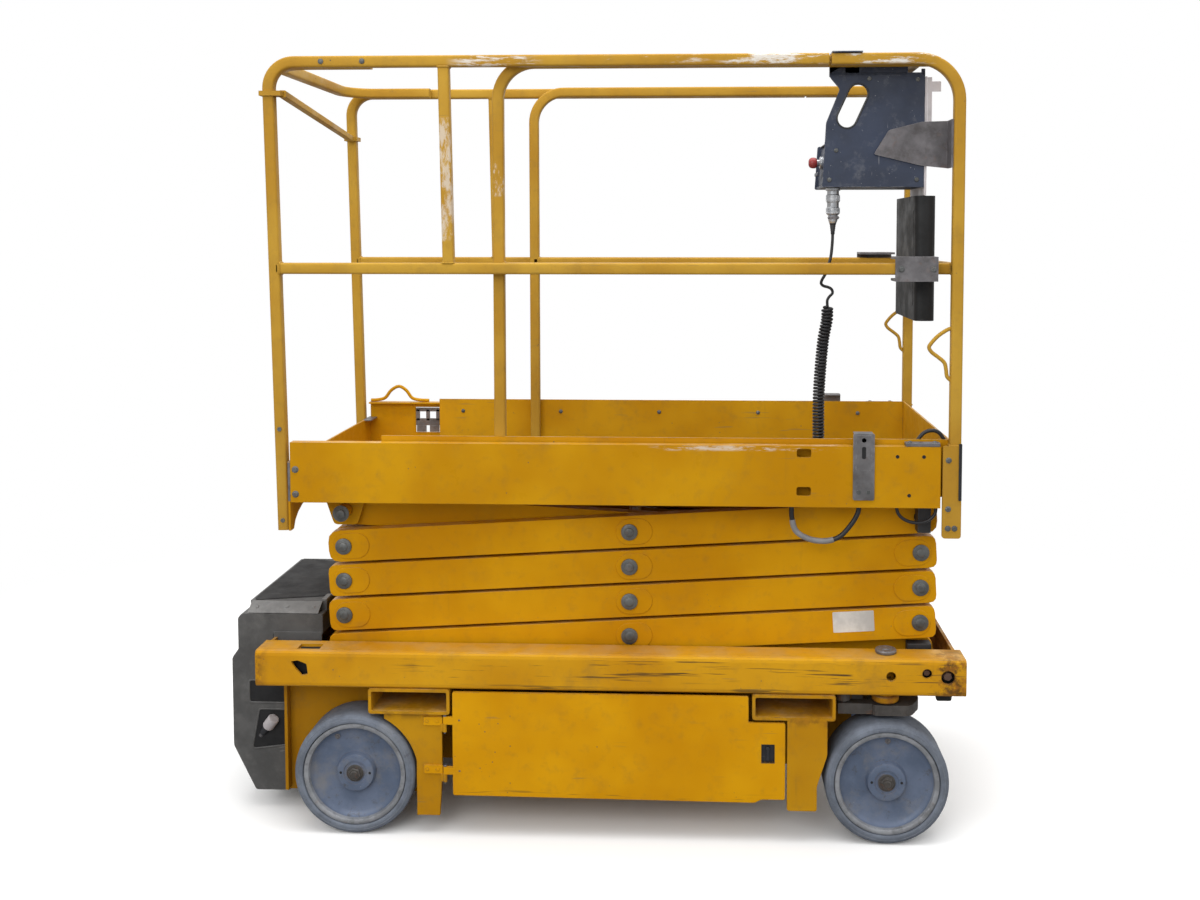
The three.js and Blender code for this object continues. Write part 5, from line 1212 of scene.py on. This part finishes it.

# deck tread; the toe boards' screws
tread = Part()
tread.prism(rounded([(-0.508, -0.335), (0.892, -0.335), (0.892, 0.335), (-0.508, 0.335)], 0.004), 0.8762,
            0.8776, "XY")
tread.mark = 1
rows, columns = 22, 46
for i in range(rows):
    for j in range(columns):
        x = -0.495 + 1.375 * (j + 0.5) / columns
        y = -0.322 + 0.644 * (i + 0.5) / rows
        t = math.radians(45 if (i + j) % 2 else -45)
        c, s = math.cos(t), math.sin(t)
        a, b = 0.0105, 0.0032
        base = [(x + c * u - s * v, y + s * u + c * v) for u, v in ((-a, 0), (0, -b), (a, 0), (0, b))]
        ridge = [(x + c * u, y + s * u, 0.8792) for u in (-a * 0.45, a * 0.45)]
        tread.add([(p[0], p[1], 0.8775) for p in base] + ridge, [(0, 1, 4), (1, 2, 5), (1, 5, 4),
                (2, 3, 5), (3, 0, 4), (3, 4, 5)])
tread.build("deck_tread", [M["plate_grey"], M["steel"]], "extension", smooth=20, slot="grey_paint")
toe = Part()
for word, sy in SIDES:
    for x in (-0.44, -0.14, 0.16, 0.46, 0.76):
        toe.lathe((x, sy * 0.3362, 0.975), (0, -sy, 0), [(0.006, 0), (0.0055, 0.002), (0.0030, 0.0034)], 16)
    # black edge strip on the front post's foot and its screws
    toe.mark = 1
    toe.prism(rounded([(0.9165, 0.866), (0.9238, 0.866), (0.9238, 1.006), (0.9165, 1.006)], 0.002),
              sy * 0.3725, sy * 0.3762)
    toe.mark = 0
    for x, z in ((0.892, 0.797), (0.908, 0.797), (0.892, 0.965), (0.892, 0.845)):
        toe.hex_bolt((x, sy * 0.3729, z), (0, sy, 0), 0.0095, 0.0040, 0.0072)
toe.build("extension_screws", [M["bolt"], M["black"]], "extension", smooth=35, slot="bright_steel")

# bent-rod hooks on the front posts, and the harness lead over the front end
hooks = Part()
for word, sy in SIDES:
    y = sy * 0.355
    shift = 0.004 if sy < 0 else 0
    hooks.tube(spline([(0.899, y, 1.291 - shift), (0.890, y, 1.288 - shift), (0.866, y, 1.272 - shift),
                       (0.848, y, 1.252 - shift),
                       (0.844, y, 1.244 - shift), (0.850, y, 1.233 - shift), (0.868, y, 1.219 - shift),
                       (0.882, y, 1.206 - shift),
                       (0.886, y, 1.190 - shift), (0.889, y, 1.172 - shift), (0.899, y, 1.162 - shift)],
                       48), 0.0048, 14)
hooks.build("post_hooks", M["rail"], "extension", smooth=80, slot="yellow_paint")
wires = Part()
wires.tube(spline([(0.800, -0.330, 0.878), (0.806, -0.330, 0.930), (0.820, -0.332, 1.000), (0.842, -0.333,
        1.028),
                   (0.870, -0.333, 1.030), (0.888, -0.334, 1.008), (0.891, -0.334, 0.960), (0.891, -0.334,
                           0.905)], 50), 0.0048, 12)
wires.build("front_harness", M["cord"], "extension", smooth=80, slot="black_plastic")
under = Part()
under.tube(spline([(0.770, -0.348, 0.8475), (0.776, -0.349, 0.826), (0.792, -0.349, 0.812), (0.818, -0.350,
        0.805),
                   (0.846, -0.350, 0.810), (0.864, -0.349, 0.826), (0.868, -0.348, 0.8475)], 44), 0.0042, 12)
under.mark = 1
under.tube(cable_path[8:37], 0.0072, 16)
under.build("under_leads", [M["cord"], M["sleeve"]], "platform", smooth=60, slot="black_plastic")


# ---------------------------------------------------------------- controls
near_y, far_y = -0.304, -0.100
grommet = Part()
slot_low, slot_high = Vector((0.646, 0, 1.801)), Vector((0.673, 0, 1.860))
tilt = math.atan2(slot_high.z - slot_low.z, slot_high.x - slot_low.x)
outline = []
for centre, start in ((slot_high, tilt - math.pi / 2), (slot_low, tilt + math.pi / 2)):
    for k in range(15):
        t = start + math.pi * k / 14
        outline.append((centre.x + 0.0252 * math.cos(t), centre.z + 0.0252 * math.sin(t)))
grommet.tube([(x, near_y + 0.002, z) for x, z in outline], 0.0030, 10, closed=True)
grommet.lathe((0.733, near_y + 0.0002, 1.738), (0, -1, 0), [(0.0062, 0), (0.0062, 0.0007)], 18)
grommet.build("hand_slot_edge", M["black"], "extension", smooth=60, slot="black_plastic")

# the near plate's upper edge behind the rail, cut round the cross rail
lip = Part()
lip.prism([(0.603, 1.9045), (0.794, 1.9045), (0.794, 1.931), (0.603, 1.931)], near_y, near_y + 0.003)
lip.prism([(0.8265, 1.9045), (0.836, 1.9045), (0.836, 1.921), (0.8265, 1.921)], near_y, near_y + 0.003)
lip.build("control_plate_edge", M["box"], "extension", 0.0006, slot="control_paint")
flange = Part()
flange.prism([(0.8426, 1.780), (0.853, 1.780), (0.853, 1.900), (0.8426, 1.900)], near_y, near_y + 0.002)
flange.prism([(0.8426, 1.865), (0.875, 1.865), (0.875, 1.890), (0.8426, 1.890)], near_y + 0.0005,
             near_y + 0.0025)
flange.build("control_flange", M["pale"], "extension", 0.0004, slot="pale_paint")

panel = Part()
panel.prism(rounded([(0.598, -0.292), (0.642, -0.292), (0.642, -0.112), (0.598, -0.112)], 0.006), 1.740,
            1.7430, "XY")
panel.build("operator_panel", M["plate_grey"], "extension", 0.0008, slot="grey_paint")
stick = Part()
stick.lathe((0.624, -0.150, 1.743), (0, 0, 1), [
    (0.020, 0), (0.020, 0.003), (0.016, 0.006), (0.018, 0.009), (0.013, 0.012), (0.008, 0.015),
    (0.007, 0.022),
    (0.011, 0.027), (0.0125, 0.033), (0.0120, 0.041), (0.008, 0.045), (0.0, 0.046)], 32, caps=False)
stick.box((0.600, -0.256, 1.7425), (0.632, -0.226, 1.7480))
stick.lathe((0.616, -0.241, 1.748), (0, 0, 1), [(0.009, 0), (0.009, 0.004), (0.0045, 0.006),
                                                (0.0045, 0.018), (0.0055, 0.024), (0.0030, 0.027)], 20)
stick.mark = 1
for k in range(3):
    stick.prism(rounded([(0.608, -0.216 + 0.016 * k), (0.624, -0.216 + 0.016 * k),
                         (0.624, -0.205 + 0.016 * k),
                         (0.608, -0.205 + 0.016 * k)], 0.002), 1.7425, 1.7455, "XY")
stick.build("operator_controls", [M["black"], M["pale"]], "extension", 0.0005, smooth=40,
            slot="black_plastic")

stop = Part()
stop.lathe((0.5930, -0.200, 1.697), (-1, 0, 0), [
    (0.0080, 0.010), (0.0120, 0.012), (0.0136, 0.015), (0.0140, 0.020), (0.0132, 0.0255), (0.0105, 0.0295),
    (0.0060, 0.0315), (0.0, 0.0320)], 36, caps=False)
stop.mark = 1
stop.lathe((0.5930, -0.200, 1.697), (-1, 0, 0), [(0.0165, -0.006), (0.0165, 0.001), (0.0140, 0.0040),
                                                 (0.0085, 0.0044),
                                                 (0.0085, 0.0120)], 32)
stop.build("stop_button", [M["red"], M["connector"]], "extension", 0.0004, smooth=40, slot="red_plastic",
           replaces=("emergency_stop_button",))
guard = Part()
guard.box((0.5800, -0.238, 1.664), (0.5860, -0.162, 1.672))
guard.build("stop_guard", M["box"], "extension", 0.001, slot="control_paint")

SCREW_HEAD = [(0.0055, -0.001), (0.0055, 0.0008), (0.0040, 0.0024), (0.0010, 0.0028)]
screws = Part()
for x, z in ((0.604, 1.650), (0.818, 1.650), (0.818, 1.895), (0.700, 1.897), (0.620, 1.722)):
    screws.lathe((x, near_y - 0.0002, z), (0, -1, 0), SCREW_HEAD, 18)
for x, z in ((0.606, 1.650), (0.818, 1.650), (0.818, 1.725)):
    screws.lathe((x, far_y + 0.0002, z), (0, 1, 0), SCREW_HEAD, 18)
for x, z in ((0.8425, 1.66), (0.8425, 1.87)):
    for y in (-0.285, -0.120):
        screws.lathe((x, y, z), (1, 0, 0), [(0.0055, -0.001), (0.0050, 0.0010), (0.0030, 0.0020)], 16)
screws.build("control_screws", M["bolt"], "extension", smooth=35, slot="bright_steel")

# blank pale plates on the control box's back, where the photograph has labels
blanks = Part()
blanks.prism(rounded([(-0.290, 1.800), (-0.115, 1.800), (-0.115, 1.885), (-0.290, 1.885)], 0.004), 0.8423,
             0.8432, "YZ")
blanks.prism(rounded([(-0.290, 1.640), (-0.180, 1.640), (-0.180, 1.720), (-0.290, 1.720)], 0.004), 0.8423,
             0.8432, "YZ")
blanks.build("blank_plates", M["decal"], "extension", slot="pale_paint")

# connector: gland nut, knurled ring, body and clamp
joint = Part()
axis = (0, 0, -1)
joint.lathe((0.619, -0.250, 1.6312), axis, [
    (0.0185, 0), (0.0185, 0.0060), (0.0150, 0.0070), (0.0150, 0.0160), (0.0168, 0.0175), (0.0168, 0.0340),
    (0.0160, 0.0355), (0.0148, 0.0360), (0.0148, 0.0480), (0.0165, 0.0495), (0.0165, 0.0640),
    (0.0150, 0.0660),
    (0.0118, 0.0690), (0.0118, 0.0800), (0.0100, 0.0850), (0.0088, 0.0880)], 40)
for k in range(24):
    t = 2 * math.pi * k / 24
    x, y = 0.619 + 0.0168 * math.cos(t), -0.250 + 0.0168 * math.sin(t)
    joint.cylinder((x, y, 1.6130), (x, y, 1.5985), 0.0010, 6)
    joint.cylinder((x, y, 1.5812), (x, y, 1.5680), 0.0009, 6)
joint.build("control_connector", M["connector"], "extension", 0.0003, smooth=30, slot="bright_steel",
            replaces=("cord_connector",))
clamp = Part()
for s in (-1, 1):
    clamp.lathe((0.619 + 0.012 * s, -0.2635, 1.5570), (0, -1, 0), [(0.0028, -0.002), (0.0028, 0.002),
            (0.0016, 0.0030)], 12)
clamp.box((0.6060, -0.2640, 1.5530), (0.6320, -0.2580, 1.5610))
clamp.build("connector_clamp", M["latch"], "extension", 0.0006, smooth=35, slot="bright_steel")
sock = Part()
sock.lathe((0.588, -0.250, 0.8762), (0, 0, 1), [
    (0.0240, 0), (0.0240, 0.0025), (0.0190, 0.0035), (0.0178, 0.0100), (0.0178, 0.0210), (0.0165, 0.0235),
    (0.0140, 0.0275)], 32)
sock.build("deck_socket", M["black"], "extension", 0.0003, smooth=35, slot="black_plastic",
           replaces=("cord_socket",))

# document box: rounded case with a slightly proud panel on its -X face
low, high = (Vector(v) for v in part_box("document_box"))


def case(part, grow, z0, z1, radius=0.012):
    part.prism(rounded([(low.x - grow, low.y - grow), (high.x + grow, low.y - grow), (high.x + grow,
            high.y + grow),
                        (low.x - grow, high.y + grow)], radius, 6), z0, z1, "XY")


book = Part()
case(book, 0.0, low.z, high.z, 0.020)
# lighter panel on the -X face, the side the light falls on: painted light
book.mark = 1
book.prism(rounded([(low.y + 0.030, low.z + 0.035), (high.y - 0.030, low.z + 0.035), (high.y - 0.030,
        high.z - 0.035),
                    (low.y + 0.030, high.z - 0.035)], 0.012), low.x - 0.0008, low.x + 0.001, "YZ")
book.build("document_case", [M["case"], M["case_lit_panel"]], "extension", 0.012, smooth=40, slot="black_plastic",
           segments=5, replaces=("document_box",))


# ---------------------------------------------------------------- floor and light
floor_mesh = bpy.data.meshes.new("floor")
floor_mesh.from_pydata([(-20, -20, 0), (20, -20, 0), (20, 20, 0), (-20, 20, 0)], [], [(0, 1, 2, 3)])
floor = bpy.data.objects.new("floor", floor_mesh)
bpy.context.scene.collection.objects.link(floor)
floor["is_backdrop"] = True
paper = Nodes("floor_paper")
rays = paper.tree.nodes.new("ShaderNodeLightPath")
paper.finish(paper.mix(rays.outputs["Is Camera Ray"], (0.30, 0.30, 0.30), (0.98, 0.98, 0.98)), 1.0,
             specular=0.0)
glow = paper.tree.nodes.new("ShaderNodeEmission")
reach = paper.tree.nodes.new("ShaderNodeVectorMath")
reach.operation = "LENGTH"
paper.link(paper.coord, reach.inputs[0])
fade = paper.ramp(reach.outputs["Value"], 1.1, 3.2)
both = paper.tree.nodes.new("ShaderNodeMixShader")
paper.link(paper.math("MULTIPLY", fade, rays.outputs["Is Camera Ray"]), both.inputs[0])
paper.link(paper.bsdf.outputs[0], both.inputs[1])
paper.link(glow.outputs[0], both.inputs[2])
surface = next(n for n in paper.tree.nodes if n.type == "OUTPUT_MATERIAL")
paper.link(both.outputs[0], surface.inputs["Surface"])
floor_mesh.materials.append(paper.material)

world = bpy.data.worlds.new("world")
bpy.context.scene.world = world
world.use_nodes = True
tree = world.node_tree
tree.nodes.clear()
out = tree.nodes.new("ShaderNodeOutputWorld")
seen = tree.nodes.new("ShaderNodeBackground")
seen.inputs["Color"].default_value = (1, 1, 1, 1)
lit = tree.nodes.new("ShaderNodeBackground")
coord = tree.nodes.new("ShaderNodeTexCoord")
split = tree.nodes.new("ShaderNodeSeparateXYZ")
tree.links.new(coord.outputs["Generated"], split.inputs[0])
level = tree.nodes.new("ShaderNodeMapRange")
level.inputs["From Min"].default_value = -0.2
level.inputs["From Max"].default_value = 1.0
level.inputs["To Min"].default_value = 0.76
level.inputs["To Max"].default_value = 1.15
tree.links.new(split.outputs["Z"], level.inputs["Value"])
tree.links.new(level.outputs["Result"], lit.inputs["Strength"])
lit.inputs["Color"].default_value = (1.0, 0.995, 0.985, 1)
path = tree.nodes.new("ShaderNodeLightPath")
choose = tree.nodes.new("ShaderNodeMixShader")
tree.links.new(path.outputs["Is Camera Ray"], choose.inputs[0])
tree.links.new(lit.outputs[0], choose.inputs[1])
tree.links.new(seen.outputs[0], choose.inputs[2])
tree.links.new(choose.outputs[0], out.inputs["Surface"])


def area(name, place, target, size, power):
    data = bpy.data.lights.new(name, "AREA")
    data.shape = "RECTANGLE"
    data.size, data.size_y = size
    data.energy = power
    lamp = bpy.data.objects.new(name, data)
    lamp.location = place
    lamp.rotation_euler = (Vector(target) - Vector(place)).to_track_quat("-Z", "Y").to_euler()
    bpy.context.scene.collection.objects.link(lamp)


area("ceiling", (0.2, -0.6, 4.6), (0, 0, 0.5), (4.0, 3.0), 116)
area("front", (-1.6, -4.6, 3.2), (0, 0, 0.9), (3.0, 2.0), 73)

{"cad": listed(cad_bounds), "visual": listed(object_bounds())}
